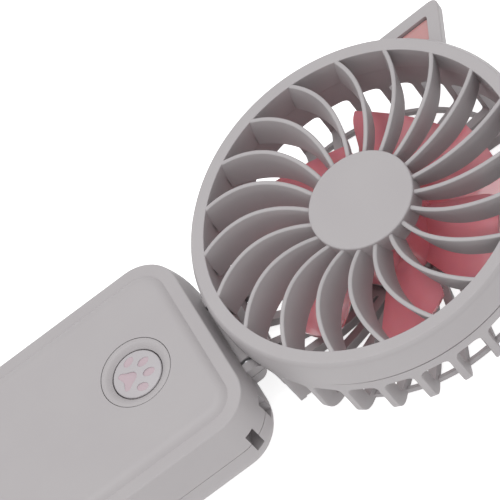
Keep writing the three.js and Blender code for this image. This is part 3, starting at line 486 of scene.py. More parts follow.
@dataclass(frozen=True)
class Plastic:
    """Moulded plastic, from satin to glossy.

    The melt's flow leaves faint lighter and darker clouds, and the tool's surface a grain that breaks the
    highlight. The real grain is too fine to show, so it is drawn as coarse as it needs to. Where the plastic
    glows, light enters and comes out nearby, which softens its thin edges.
    """

    name: str
    slot: Slot
    colour: str
    cloud: str
    roughness: float
    spread: float = 0.04
    ior: float = 1.54
    cloud_mm: float = 14.0
    cloud_detail: float = 3.0
    grain_mm: float = 0.35
    grain_detail: float = 2.0
    grain_depth_mm: float = 0.006
    glow: float = 0.0
    glow_mm: float = 1.0
    coat: float = 0.0
    coat_roughness: float = 0.08

    def build(self) -> bpy.types.Material:
        """Builds the material.

        Returns:
            The finished material.
        """
        material, tree, surface, place = blank_material(self.name)
        clouds = add_node(tree, "ShaderNodeTexNoise",
                          {"Scale": 1 / (self.cloud_mm * MM), "Detail": self.cloud_detail}, {"Vector": place})
        tone = add_node(tree, "ShaderNodeMix",
                        {"data_type": "RGBA", 6: linear(self.colour), 7: linear(self.cloud)},
                        {0: clouds.outputs["Fac"]})
        grain = add_node(tree, "ShaderNodeTexNoise",
                         {"Scale": 1 / (self.grain_mm * MM), "Detail": self.grain_detail}, {"Vector": place})
        sheen = add_node(tree, "ShaderNodeMapRange",
                         {"To Min": self.roughness - self.spread, "To Max": self.roughness + self.spread},
                         {"Value": grain.outputs["Fac"]})
        bump = add_node(tree, "ShaderNodeBump", {"Distance": self.grain_depth_mm * MM, "Strength": 1.0},
                        {"Height": grain.outputs["Fac"]})
        shader = add_node(tree, "ShaderNodeBsdfPrincipled",
                          {"IOR": self.ior, "Subsurface Weight": self.glow,
                           "Subsurface Scale": self.glow_mm * MM, "Coat Weight": self.coat,
                           "Coat Roughness": self.coat_roughness},
                          {"Base Color": tone.outputs[2], "Roughness": sheen.outputs["Result"],
                           "Normal": bump.outputs["Normal"]})
        tree.links.new(shader.outputs["BSDF"], surface)
        return material


def polished(name: str, slot: Slot, colour: str, deep: str, roughness: float, wave_mm: float = 6.0,
             **more: float) -> Plastic:
    """Gives a plastic from a polished tool, where one slow wave carries both the tone and the surface.

    Args:
        name: The material's name.
        slot: The record's material slot.
        colour: Its lighter colour.
        deep: Its deeper colour.
        roughness: Its middle roughness.
        wave_mm: The size of the waves.
        more: Other values of the plastic, such as its coat.

    Returns:
        The finish.
    """
    return Plastic(name, slot, colour, deep, roughness, spread=0.03, cloud_mm=wave_mm, cloud_detail=2.0,
                   grain_mm=wave_mm, grain_depth_mm=0.02, glow_mm=1.5, **more)


@dataclass(frozen=True)
class WorkedMetal:
    """Plated, drawn or sintered metal: fine scratches stretch its highlight along the way it was worked.

    Real scratches are too fine to show, so these are drawn as coarse as they need to be.
    """

    name: str
    slot: Slot
    colour: str
    dull: str
    roughness: float
    scratch_mm: float = 0.25
    scratch_detail: float = 3.0
    stretch: Point3 = (1.0, 1.0, 0.1)
    smoother: float = 0.08
    rougher: float = 0.1

    def build(self) -> bpy.types.Material:
        """Builds the material.

        Returns:
            The finished material.
        """
        material, tree, surface, place = blank_material(self.name)
        drawn = add_node(tree, "ShaderNodeMapping", {"Scale": self.stretch}, {"Vector": place})
        scratches = add_node(tree, "ShaderNodeTexNoise",
                             {"Scale": 1 / (self.scratch_mm * MM), "Detail": self.scratch_detail},
                             {"Vector": drawn.outputs["Vector"]})
        tone = add_node(tree, "ShaderNodeMix",
                        {"data_type": "RGBA", 6: linear(self.colour), 7: linear(self.dull)},
                        {0: scratches.outputs["Fac"]})
        sheen = add_node(tree, "ShaderNodeMapRange",
                         {"To Min": self.roughness - self.smoother, "To Max": self.roughness + self.rougher},
                         {"Value": scratches.outputs["Fac"]})
        shader = add_node(tree, "ShaderNodeBsdfPrincipled", {"Metallic": 1.0},
                          {"Base Color": tone.outputs[2], "Roughness": sheen.outputs["Result"]})
        tree.links.new(shader.outputs["BSDF"], surface)
        return material


@dataclass(frozen=True)
class WovenBoard:
    """Glass fibre circuit board under solder mask: the weave shows as a fine check in a glossy film."""

    name: str
    slot: Slot
    colour: str
    thread: str
    roughness: float
    thread_mm: float = 0.5
    thread_depth_mm: float = 0.01
    thread_strength: float = 0.5
    ior: float = 1.55

    def build(self) -> bpy.types.Material:
        """Builds the material.

        Returns:
            The finished material.
        """
        material, tree, surface, place = blank_material(self.name)
        weave = add_node(tree, "ShaderNodeTexChecker",
                         {"Scale": 1 / (self.thread_mm * MM), "Color1": linear(self.colour),
                          "Color2": linear(self.thread)}, {"Vector": place})
        bump = add_node(tree, "ShaderNodeBump",
                        {"Distance": self.thread_depth_mm * MM, "Strength": self.thread_strength},
                        {"Height": weave.outputs["Fac"]})
        shader = add_node(tree, "ShaderNodeBsdfPrincipled", {"IOR": self.ior, "Roughness": self.roughness},
                          {"Base Color": weave.outputs["Color"], "Normal": bump.outputs["Normal"]})
        tree.links.new(shader.outputs["BSDF"], surface)
        return material


Finish = Plastic | WorkedMetal | WovenBoard

# Spark-eroded ABS shells: a warm pale grey that stays even, with only a wide soft highlight.
SHELL = Plastic("satin_abs_shell", Slot.SHELL, "#bdb9ba", "#b7b2b4", 0.52)
# The button is ABS from a finer tool: paler, and a little shinier under the thumb.
BUTTON = Plastic("fine_abs_button", Slot.BUTTON, "#c6c2c5", "#bfbabd", 0.4, grain_mm=0.25,
                 grain_depth_mm=0.003)
# Pads in a faint pink print ink sunk in the button: the ink lies matt.
PAD = Plastic("pad_ink", Slot.BUTTON, "#cbb9bf", "#c4afb7", 0.5, grain_mm=0.3, grain_depth_mm=0.003)
# Impeller of rose polypropylene from a polished tool: glossy, with glowing edges.
ROSE = polished("polished_rose_polypropylene", Slot.IMPELLER, "#f69aa4", "#f08e9a", 0.26, ior=1.5, coat=1.0,
                glow=0.32)
# Ear inlays of tinted acrylic: a hard clear gloss over pale pink.
ACRYLIC = polished("tinted_acrylic_inlay", Slot.EAR, "#d7a19f", "#c98f8f", 0.18, ior=1.49, coat=0.8,
                   glow=0.15)
# Glass-filled nylon for the motor's cap and the switch: near black and dry.
NYLON = Plastic("black_filled_nylon", Slot.BLACK, "#27272b", "#1f1f23", 0.6, grain_mm=0.5)
# Solder mask over woven glass: deep green.
BOARD = WovenBoard("solder_masked_board", Slot.BOARD, "#1f5a38", "#24653f", 0.35)
# Zinc-plated steel: cool, with soft drawn streaks.
STEEL = WorkedMetal("zinc_plated_steel", Slot.STEEL, "#c3c5c8", "#a9abae", 0.32)
# Hard-drawn copper segments: warm and bright where the brushes run.
COPPER = WorkedMetal("drawn_copper", Slot.COPPER, "#d08a5a", "#b5713c", 0.3)
# Sintered bronze holds oil in its pores, so it looks brown and speckled.
BRONZE = WorkedMetal("sintered_bronze", Slot.BRONZE, "#a98552", "#7d6138", 0.5, scratch_mm=0.15,
                     stretch=(1.0, 1.0, 1.0))
# Pressed ferrite: dark grey, matt and slightly coarse.
FERRITE = Plastic("pressed_ferrite", Slot.MAGNET, "#3b3b3f", "#333337", 0.7, ior=2.0, grain_mm=0.2)
# Heat-shrunk film on the cells: smooth blue with tight ripples.
FILM = polished("shrunk_cell_film", Slot.CELL, "#3f6fa8", "#386396", 0.35, 2.0, ior=1.5, coat=0.3)

# The pieces that stay as the model gives them. What isn't listed is steel.
CAD_FINISHES: dict[str, Finish] = {
    "circuit_board": BOARD,
    "tact_switch": NYLON,
    "switch_plunger": NYLON,
    "motor_end_cap": NYLON,
    "magnet_left": FERRITE,
    "magnet_right": FERRITE,
    "armature_core": FERRITE,
    "front_bush": BRONZE,
    "rear_bush": BRONZE,
    "commutator": COPPER,
    "battery_cell_left": FILM,
    "battery_cell_right": FILM,
}


@dataclass
class Finishes:
    """Builds each finish once and dresses the pieces."""

    made: dict[str, bpy.types.Material] = field(default_factory=dict)

    def of(self, finish: Finish) -> bpy.types.Material:
        """Gives the material of a finish, made at its first use.

        Args:
            finish: The finish.

        Returns:
            Its material.
        """
        if finish.name not in self.made:
            self.made[finish.name] = finish.build()
        return self.made[finish.name]

    def settle(self, piece: bpy.types.Object, finish: Finish, body: Body, *nodes: str,
               sharp: float = 32.0) -> None:
        """Smooths and dresses a piece, lets it ride and hides the nodes that it stands for.

        Args:
            piece: The finished piece.
            finish: Its main finish.
            body: The body that it moves with.
            nodes: The names of the nodes that it replaces.
            sharp: The angle in degrees above which an edge stays crisp.
        """
        smooth(piece, sharp)
        materials = piece.data.materials
        if materials:
            materials[0] = self.of(finish)
        else:
            materials.append(self.of(finish))
        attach(piece, body.value)
        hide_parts(*nodes)
        LOG.info("built %s with %d faces", piece.name, len(piece.data.polygons))

    def dress_cad(self) -> None:
        """Gives every piece that the model keeps its material."""
        for name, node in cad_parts.items():
            if node.hide_render:
                continue
            finish = CAD_FINISHES.get(name, STEEL)
            node.data.materials.clear()
            node.data.materials.append(self.of(finish))
            LOG.info("dressed %s in %s", name, finish.name)


@dataclass
class Hinge:
    """The pin, its washers, and the room that the knuckle turns in."""

    knuckle_radius: float = 3.0
    knuckle_half: float = 9.6
    running_gap: float = 0.3
    lug_thickness: float = 2.6
    recess_gap: float = 0.5
    wall: float = 2.0
    washer_radius: float = 2.6
    edge: float = 0.15
    edge_steps: int = 4
    middle: Vector = field(init=False)
    pin_half: float = field(init=False)
    pin_radius: float = field(init=False)
    lug_inner: float = field(init=False)

    def __post_init__(self) -> None:
        """Takes the pin's line from the model."""
        low, high = node_box("hinge_pin")
        self.middle = (low + high) / 2
        self.pin_half = (high.x - low.x) / 2
        self.pin_radius = (high.z - low.z) / 2
        self.lug_inner = node_box("hinge_washer_right")[1].x + self.running_gap

    @property
    def lug_outer(self) -> float:
        """The outer face of a lug."""
        return self.lug_inner + self.lug_thickness

    @property
    def recess_half(self) -> float:
        """Half the width of the room that the knuckle and lugs lie in."""
        return self.lug_outer + self.recess_gap

    @property
    def recess_radius(self) -> float:
        """The radius of that room."""
        return self.knuckle_radius + self.recess_gap

    @property
    def knuckle_foot(self) -> float:
        """The lowest height of the knuckle."""
        return self.middle.z - self.knuckle_radius

    @property
    def knuckle_top(self) -> float:
        """The greatest height of the knuckle."""
        return self.middle.z + self.knuckle_radius

    def behind(self, depth: float) -> float:
        """Gives the Y that lies a depth behind the room, inside the handle."""
        return self.middle.y - self.recess_radius - depth

    def recess(self) -> bpy.types.Object:
        """Makes the tool that hollows the covers round the knuckle."""
        return rod_x("recess", self.recess_radius, -self.recess_half, self.recess_half, self.middle)

    def lugs(self, low: float, high: float, back: float) -> list[bpy.types.Object]:
        """Makes the halves of both lugs that belong to one cover.

        Args:
            low: The lower height of the half.
            high: The upper height of the half.
            back: The Y at which the webs end inside the cover.

        Returns:
            A left and a right half lug.
        """
        made = []
        for side in (-1, 1):
            start, end = sorted((side * self.lug_inner, side * self.lug_outer))
            eye = rod_x("lug", self.knuckle_radius, start, end, self.middle)
            reach = self.middle.y + 2 * self.knuckle_radius
            carve(eye, box("half", (start - OVER, back, low), (end + OVER, reach, high)), how=Carve.KEEP)
            join(eye, box("web", (start, back, low), (end, self.middle.y, high)))
            half = self.pin_half + SEAM
            carve(eye, rod_x("bore", self.pin_radius + SEAM, -half, half, self.middle))
            made.append(eye)
        return made

    def rounded_bar(self, name: str, radius: float, start: float, end: float,
                    bore: float = 0.0) -> bpy.types.Object:
        """Makes a bar or ring along X with rounded edges.

        Args:
            name: The piece's name.
            radius: Its outer radius.
            start: The X of its first end.
            end: The X of its last end.
            bore: The radius of its hole, if any.

        Returns:
            The new object.
        """
        edge, steps = self.edge, self.edge_steps
        profile = [(bore, start), *foot_edge(radius, start, edge, steps),
                   *top_edge(radius, end, edge, steps), (bore, end)]
        bar = lathe(name, profile, SMALL_TURN, closed=bore > 0)
        turn = Matrix.Rotation(math.pi / 2, 4, "Y")
        bar.data.transform(Matrix.Translation(Vector((0, self.middle.y, self.middle.z)) * MM) @ turn)
        return bar

    def build(self, finishes: Finishes) -> None:
        """Builds the pin and both washers.

        Args:
            finishes: The finishes that dress the pieces.
        """
        pin = self.rounded_bar("steel_hinge_pin", self.pin_radius, -self.pin_half, self.pin_half)
        finishes.settle(pin, STEEL, Body.HANDLE, "hinge_pin")
        for side in ("left", "right"):
            low, high = node_box(f"hinge_washer_{side}")
            bore = self.pin_radius + SEAM
            washer = self.rounded_bar(f"steel_washer_{side}", self.washer_radius, low.x, high.x, bore)
            finishes.settle(washer, STEEL, Body.HANDLE, f"hinge_washer_{side}")


@dataclass
class Handle:
    """The two shells of the handle, which close on each other at the parting line."""

    hinge: Hinge
    width: float = 60.0
    length: float = 102.0
    corner: float = 12.0
    back_fillet: float = 10.0
    wall: float = 2.0
    parting: float = 12.7
    rim_height: float = 23.6
    panel_height: float = 24.9
    side_draft: float = 1.4
    rim_width: float = 3.6
    rim_edge: float = 0.5
    panel_slope: float = 3.4
    slope_power: float = 2.7
    lip_height: float = 1.2
    lip_thickness: float = 0.9
    boss_radius: float = 2.6
    screw_inset: float = 7.8
    hinge_screw_inset: float = 11.0
    screw_seat: float = 7.0
    screw_bore: float = 1.05
    screw_depth: float = 17.3
    counterbore: float = 1.9
    tunnel_radius: float = 5.0
    tunnel_width: float = 2.8
    tunnel_low: float = 9.1
    tunnel_height: float = 7.1
    tunnel_reach: float = 2.6
    block_radius: float = 9.0
    block_wall: float = 1.4
    bezel_radius: float = 9.45
    corner_steps: int = 16
    curve_steps: int = 10
    edge_steps: int = 5
    inside_steps: int = 8
    tunnel_steps: int = 64
    middle_y: float = field(init=False)
    button: Vector = field(init=False)

    def __post_init__(self) -> None:
        """Takes the places of the shells and the button from the model."""
        self.middle_y = node_box("rear_cover")[0].y + self.length / 2
        self.button = node_axis("power_button")

    @property
    def end_y(self) -> float:
        """The end wall beside the hinge."""
        return self.middle_y + self.length / 2

    @property
    def front_edge(self) -> float:
        """The front cover's lower edge."""
        return self.parting + SEAM / 2

    @property
    def rear_edge(self) -> float:
        """The rear cover's upper edge."""
        return self.parting - SEAM / 2

    @property
    def panel_inset(self) -> float:
        """How far the raised panel lies inside the outline."""
        return self.side_draft + self.rim_width + self.panel_slope

    @property
    def panel_floor(self) -> float:
        """The underside of the panel."""
        return self.panel_height - self.wall

    def plan(self, inset: float, z: float) -> list[Vector]:
        """Gives the handle's outline at a height.

        Args:
            inset: How far the outline is drawn in.
            z: The height.

        Returns:
            The outline's points, the same number for every inset.
        """
        radius = self.corner - inset
        x = self.width / 2 - inset - radius
        y = self.length / 2 - inset - radius
        ring = []
        for cx, cy, start in ((x, y, 0), (-x, y, 90), (-x, -y, 180), (x, -y, 270)):
            centre = Vector((cx, self.middle_y + cy, 0))
            ring += [centre + polar(radius, start + 90 * share, z)
                     for share in share_range(self.corner_steps)]
        return ring

    def shell(self, name: str, profile: Sequence[Point2]) -> bpy.types.Object:
        """Makes a shell as one skin through a profile of (inset, height)."""
        return loft(name, [self.plan(inset, z) for inset, z in profile])

    def screw_spots(self) -> list[Vector]:
        """Gives the places of the four cover screws.

        Returns:
            Points at height 0.
        """
        x = self.width / 2 - self.screw_inset
        far = self.middle_y - self.length / 2 + self.screw_inset
        near = self.end_y - self.hinge_screw_inset
        return [Vector((sx, y, 0)) for sx, y in ((x, far), (-x, far), (x, near), (-x, near))]

    def tunnel(self) -> bpy.types.Object:
        """Makes the tool for the curved lanyard tunnel in the corner.

        Returns:
            A whole ring. What of it lies inside the corner cuts the tunnel.
        """
        radii = (self.tunnel_radius - self.tunnel_width / 2, self.tunnel_radius + self.tunnel_width / 2)
        low, high = self.tunnel_low, self.tunnel_low + self.tunnel_height
        return tube("tunnel", radii, low, high, self.tunnel_spot(), self.tunnel_steps)

    def tunnel_spot(self) -> Vector:
        """Gives the upright line that the tunnel bends round."""
        return Vector((self.width / 2 - self.tunnel_reach, self.end_y - self.tunnel_reach, 0))

    def corner_block(self, low: float, high: float) -> bpy.types.Object:
        """Makes the solid corner that the tunnel runs through.

        Args:
            low: The block's lower height.
            high: Its upper height.

        Returns:
            The block, cut to the shell's inside.
        """
        block = disc("corner_block", self.block_radius, low, high, self.tunnel_spot())
        inside = self.shell("inside", [(self.wall / 2, low), (self.wall / 2, high)])
        return carve(block, inside, how=Carve.KEEP)

    def recess_wall(self, low: float, high: float) -> bpy.types.Object:
        """Makes the wall behind the hinge's room."""
        half, back = self.hinge.recess_half + self.hinge.wall, self.hinge.behind(self.hinge.wall)
        return box("recess_wall", (-half, back, low), (half, self.end_y - self.wall / 2, high))

    def front_profile(self) -> list[Point2]:
        """Gives the front cover's section from inside, round the edge and up to the panel.

        Returns:
            The profile as (inset, height).
        """
        top = self.rim_height - self.rim_edge
        rise = top - self.front_edge
        rim_in = self.side_draft + self.rim_width
        inner = [(self.panel_inset, self.panel_floor), (rim_in, self.rim_height - self.wall),
                 (self.side_draft + self.wall, self.rim_height - self.wall),
                 (self.wall, self.front_edge + self.lip_height + SEAM), (self.wall, self.front_edge)]
        flank = [(self.side_draft * share * share, self.front_edge + rise * share)
                 for share in share_range(self.curve_steps)]
        edge = arc((self.side_draft + self.rim_edge, top), self.rim_edge, 180, 90, self.edge_steps)[1:]
        step = self.panel_height - self.rim_height
        slope = [(rim_in + self.panel_slope * share,
                  self.rim_height + step * (1 - (1 - share) ** self.slope_power))
                 for share in share_range(self.curve_steps)]
        return [*inner, *flank, *edge, *slope]

    def front_cover(self) -> bpy.types.Object:
        """Builds the front shell with its panel, button hole, corner tunnel and half lugs.

        Returns:
            The cover.
        """
        hinge, foot = self.hinge, self.front_edge
        cover = self.shell("front_shell", self.front_profile())
        block_top = self.tunnel_low + self.tunnel_height + self.block_wall
        wall_top = hinge.middle.z + hinge.recess_radius + hinge.wall
        boss_top = self.rim_height - self.wall / 2
        join(cover, self.corner_block(foot, block_top), self.recess_wall(foot, wall_top))
        for spot in self.screw_spots():
            join(cover, disc("boss", self.boss_radius, foot, boss_top, spot))
            carve(cover, disc("pilot", self.screw_bore, foot - OVER, self.screw_depth, spot))
        carve(cover, self.tunnel(), hinge.recess())
        join(cover, *hinge.lugs(foot, hinge.knuckle_top, hinge.behind(hinge.wall / 2)))
        low, high = self.panel_floor - OVER, self.panel_height + OVER
        hole = disc("hole", self.bezel_radius + SEAM, low, high, self.button, TURN)
        return carve(cover, hole, ChargingSocket().opening())

    def rear_cover(self) -> bpy.types.Object:
        """Builds the rear shell with its lip, bosses, counterbores and half lugs.

        Returns:
            The cover.
        """
        hinge = self.hinge
        fillet = self.back_fillet
        rear, lip_height = self.rear_edge, self.lip_height
        outside = [(fillet - x, fillet + y) for x, y in arc((0, 0), fillet, -90, 0, self.curve_steps)]
        inside = [(fillet - x, fillet + y)
                  for x, y in arc((0, 0), fillet - self.wall, 0, -90, self.inside_steps)]
        cover = self.shell("rear_shell", [*outside, (0, rear), (self.wall, rear), *inside])
        out = self.wall + SEAM
        lip_in = out + self.lip_thickness
        lip = [(self.wall / 2, rear - lip_height), (self.wall / 2, rear - SEAM), (out, rear - SEAM),
               (out, rear + lip_height), (lip_in, rear + lip_height), (lip_in, rear - lip_height)]
        wall_foot = hinge.middle.z - hinge.recess_radius - hinge.wall
        join(cover, loft("lip", [self.plan(inset, z) for inset, z in lip], closed=True),
             self.corner_block(self.tunnel_low - self.block_wall, rear), self.recess_wall(wall_foot, rear))
        for spot in self.screw_spots():
            boss = disc("boss", self.boss_radius, self.wall / 2, rear, spot)
            carve(boss, self.shell("filled", [*outside, (0, rear)]), how=Carve.KEEP)
            join(cover, boss)
            carve(cover, disc("counterbore", self.counterbore, -OVER, self.screw_seat + SEAM, spot))
            carve(cover, disc("hole", self.screw_bore, self.screw_seat - OVER, rear + OVER, spot))
        carve(cover, self.tunnel(), hinge.recess())
        self.clear_lip(cover)
        return join(cover, *hinge.lugs(hinge.knuckle_foot, rear, hinge.behind(hinge.wall / 2)))

    def clear_lip(self, cover: bpy.types.Object) -> None:
        """Cuts the lip away where parts hang down from the front cover.

        Args:
            cover: The rear cover.
        """
        hinge = self.hinge
        low, high = self.rear_edge - SEAM / 2, self.rear_edge + self.lip_height + OVER
        half, back = hinge.recess_half + hinge.wall + SEAM, hinge.behind(hinge.wall + SEAM)
        socket_low, socket_high = node_box("charging_socket")
        carve(cover, box("hinge_room", (-half, back, low), (half, self.end_y, high)),
              disc("corner_room", self.block_radius + SEAM, low, high, self.tunnel_spot()),
              box("socket_room", (-self.width / 2, socket_low.y - SEAM, low),
                  (-self.width / 4, socket_high.y + SEAM, high)))

    def build(self, finishes: Finishes) -> None:
        """Builds and dresses both shells."""
        finishes.settle(self.front_cover(), SHELL, Body.HANDLE, "front_cover")
        finishes.settle(self.rear_cover(), SHELL, Body.HANDLE, "rear_cover")


@dataclass
class ChargingSocket:
    """The oval steel socket in the left wall."""

    wall: float = 0.35
    cut_reach: float = 3.0
    tongue: float = 0.7
    tongue_width: float = 6.6
    back_wall: float = 1.0
    tongue_inset: float = 0.6
    steps: int = 10
    low: Vector = field(init=False)
    high: Vector = field(init=False)

    def __post_init__(self) -> None:
        """Takes the socket's box from the model."""
        self.low, self.high = node_box("charging_socket")

    def oval(self, name: str, grow: float, start: float, end: float) -> bpy.types.Object:
        """Makes an oval bar along X, larger than the socket by a margin.

        Args:
            name: The piece's name.
            grow: The margin, negative for a smaller oval.
            start: The X of its first end.
            end: The X of its last end.

        Returns:
            The new object.
        """
        middle = (self.low + self.high) / 2
        half_width = (self.high.y - self.low.y) / 2 + grow
        radius = (self.high.z - self.low.z) / 2 + grow
        reach = half_width - radius
        outline = arc((reach, 0), radius, -90, 90, self.steps)
        outline += arc((-reach, 0), radius, 90, 270, self.steps)
        return loft(name, [[Vector((x, middle.y + y, middle.z + z)) for y, z in outline]
                           for x in (start, end)])

    def opening(self) -> bpy.types.Object:
        """Makes the tool for the opening in the handle's wall."""
        return self.oval("opening", SEAM, self.low.x - self.cut_reach, self.low.x + self.cut_reach)

    def build(self, finishes: Finishes) -> None:
        """Builds the drawn shell and the tongue inside it.

        Args:
            finishes: The finishes that dress the pieces.
        """
        shell = self.oval("socket_shell", 0.0, self.low.x, self.high.x)
        carve(shell, self.oval("hollow", -self.wall, self.low.x - OVER, self.high.x - self.back_wall))
        middle = (self.low + self.high) / 2
        half, thin = self.tongue_width / 2, self.tongue / 2
        tongue = box("socket_tongue", (self.low.x + self.tongue_inset, middle.y - half, middle.z - thin),
                     (self.high.x - self.back_wall, middle.y + half, middle.z + thin))
        finishes.settle(shell, STEEL, Body.HANDLE, "charging_socket")
        finishes.settle(tongue, NYLON, Body.HANDLE)


@dataclass
class PushButton:
    """The dished bezel, and the button with a paw of shallow pads."""

    handle: Handle
    bezel_bore: float = 6.9
    bezel_edge: float = 0.12
    flange: float = 1.3
    flange_thickness: float = 1.1
    dish: float = 1.1
    dish_width: float = 1.8
    running_gap: float = 0.3
    radius: float = 6.6
    drop: float = 0.9
    crown: float = 0.35
    edge: float = 0.35
    button_flange: float = 0.9
    stem_radius: float = 1.6
    pad_depth: float = 0.16
    pad_steps: int = 28
    palm_steps: int = 4
    curve_steps: int = 10
    crown_steps: int = 12
    edge_steps: int = 5
    bezel_edge_steps: int = 3
    bezel_steps: int = 128
    flat_enough: float = 0.99
    near_enough: float = 0.01
    toe_shares: tuple[tuple[float, float, float, float, float], ...] = (
        (-0.66, -0.06, 0.17, 0.24, 24),
        (-0.27, 0.42, 0.17, 0.25, 8),
        (0.27, 0.42, 0.17, 0.25, -8),
        (0.66, -0.06, 0.17, 0.24, -24),
    )
    palm_share: Point2 = (0.0, -0.37)
    palm_shares: tuple[Point2, ...] = (
        (0.0, 0.36), (0.16, 0.28), (0.3, 0.02), (0.43, -0.18), (0.36, -0.34), (0.18, -0.29), (0.0, -0.24),
        (-0.18, -0.29), (-0.36, -0.34), (-0.43, -0.18), (-0.3, 0.02), (-0.16, 0.28),
    )

    @property
    def flange_top(self) -> float:
        """The upper side of the bezel's flange, under the panel."""
        return self.handle.panel_floor - SEAM

    @property
    def bezel_foot(self) -> float:
        """The underside of the bezel's flange."""
        return self.flange_top - self.flange_thickness

    @property
    def top(self) -> float:
        """The height at which the button's crown starts."""
        return self.handle.panel_height - self.drop

    def bezel(self) -> bpy.types.Object:
        """Builds the bezel as one turned ring with a dish towards the button.

        Returns:
            The bezel.
        """
        radius, height = self.handle.bezel_radius, self.handle.panel_height
        start = self.bezel_bore + self.dish_width
        dish = [(start - self.dish_width * share, height - self.dish * (1 - math.cos(math.pi / 2 * share)))
                for share in share_range(self.curve_steps)]
        edge = top_edge(radius, height, self.bezel_edge, self.bezel_edge_steps)
        profile = [(radius + self.flange, self.bezel_foot), (radius + self.flange, self.flange_top),
                   (radius, self.flange_top), *edge, *dish, (self.bezel_bore, self.bezel_foot)]
        return lathe("dished_bezel", profile, self.bezel_steps, self.handle.button, closed=True)

    def pads(self) -> list[list[Point2]]:
        """Gives the outlines of the palm pad and the four toe pads.

        Returns:
            The outlines, about the button's middle.
        """
        palm_x, palm_y = self.palm_share
        palm = [((x + palm_x) * self.radius, (y + palm_y) * self.radius) for x, y in self.palm_shares]
        outlines = [closed_curve(palm, self.palm_steps)]
        ring = [polar(1, 360 * i / self.pad_steps, 0) for i in range(self.pad_steps)]
        for x, y, wide, long, lean in self.toe_shares:
            turn = Matrix.Rotation(math.radians(lean), 2)
            placed = [turn @ Vector((wide * p.x, long * p.y)) + Vector((x, y)) for p in ring]
            outlines.append([(p.x * self.radius, p.y * self.radius) for p in placed])
        return outlines

    def button(self, pad_ink: bpy.types.Material) -> bpy.types.Object:
        """Builds the crowned button and sinks the pads into it.

        Args:
            pad_ink: The material of the pads' floors.

        Returns:
            The button.
        """
        flat = self.radius - self.edge
        crown = [(flat - flat * share, self.top + self.crown * (1 - (1 - share) ** 2))
                 for share in share_range(self.crown_steps)]
        edge = top_edge(self.radius, self.top, self.edge, self.edge_steps)[:-1]
        foot = node_box("power_button")[0].z
        flange_top = self.bezel_foot - self.running_gap
        wide = self.radius + self.button_flange
        hollow = node_box("switch_plunger")[1].z + self.running_gap
        profile = [(0, hollow), (self.stem_radius, hollow), (self.stem_radius, foot), (wide, foot),
                   (wide, flange_top), (self.radius, flange_top), *edge, *crown]
        middle = self.handle.button
        button = lathe("crowned_button", profile, TURN, middle)
        button.data.materials.append(None)
        button.data.materials.append(pad_ink)
        floor = self.top - self.pad_depth + self.crown / 2
        for outline in self.pads():
            placed = [(x + middle.x, y + middle.y) for x, y in outline]
            carve(button, prism("pad", placed, floor, self.handle.panel_height + OVER))
        for face in button.data.polygons:
            if face.normal.z > self.flat_enough and abs(face.center.z / MM - floor) < self.near_enough:
                face.material_index = 1
        return button

    def build(self, finishes: Finishes) -> None:
        """Builds and dresses the bezel and the button."""
        finishes.settle(self.bezel(), SHELL, Body.HANDLE, "button_bezel")
        finishes.settle(self.button(finishes.of(PAD)), BUTTON, Body.BUTTON, "power_button")


def closed_curve(points: Sequence[Point2], steps: int) -> list[Point2]:
    """Runs a smooth closed curve through points.

    Args:
        points: The points, in order.
        steps: How many stretches lie between two points.

    Returns:
        The curve's points.
    """
    count = len(points)
    curve = []
    for i in range(count):
        a, b, c, d = (Vector(points[(i + k) % count]) for k in (-1, 0, 1, 2))
        for k in range(steps):
            t = k / steps
            bend = 2 * a - 5 * b + 4 * c - d
            twist = 3 * b - a - 3 * c + d
            p = (2 * b + (c - a) * t + bend * t * t + twist * t ** 3) / 2
            curve.append((p.x, p.y))
    return curve


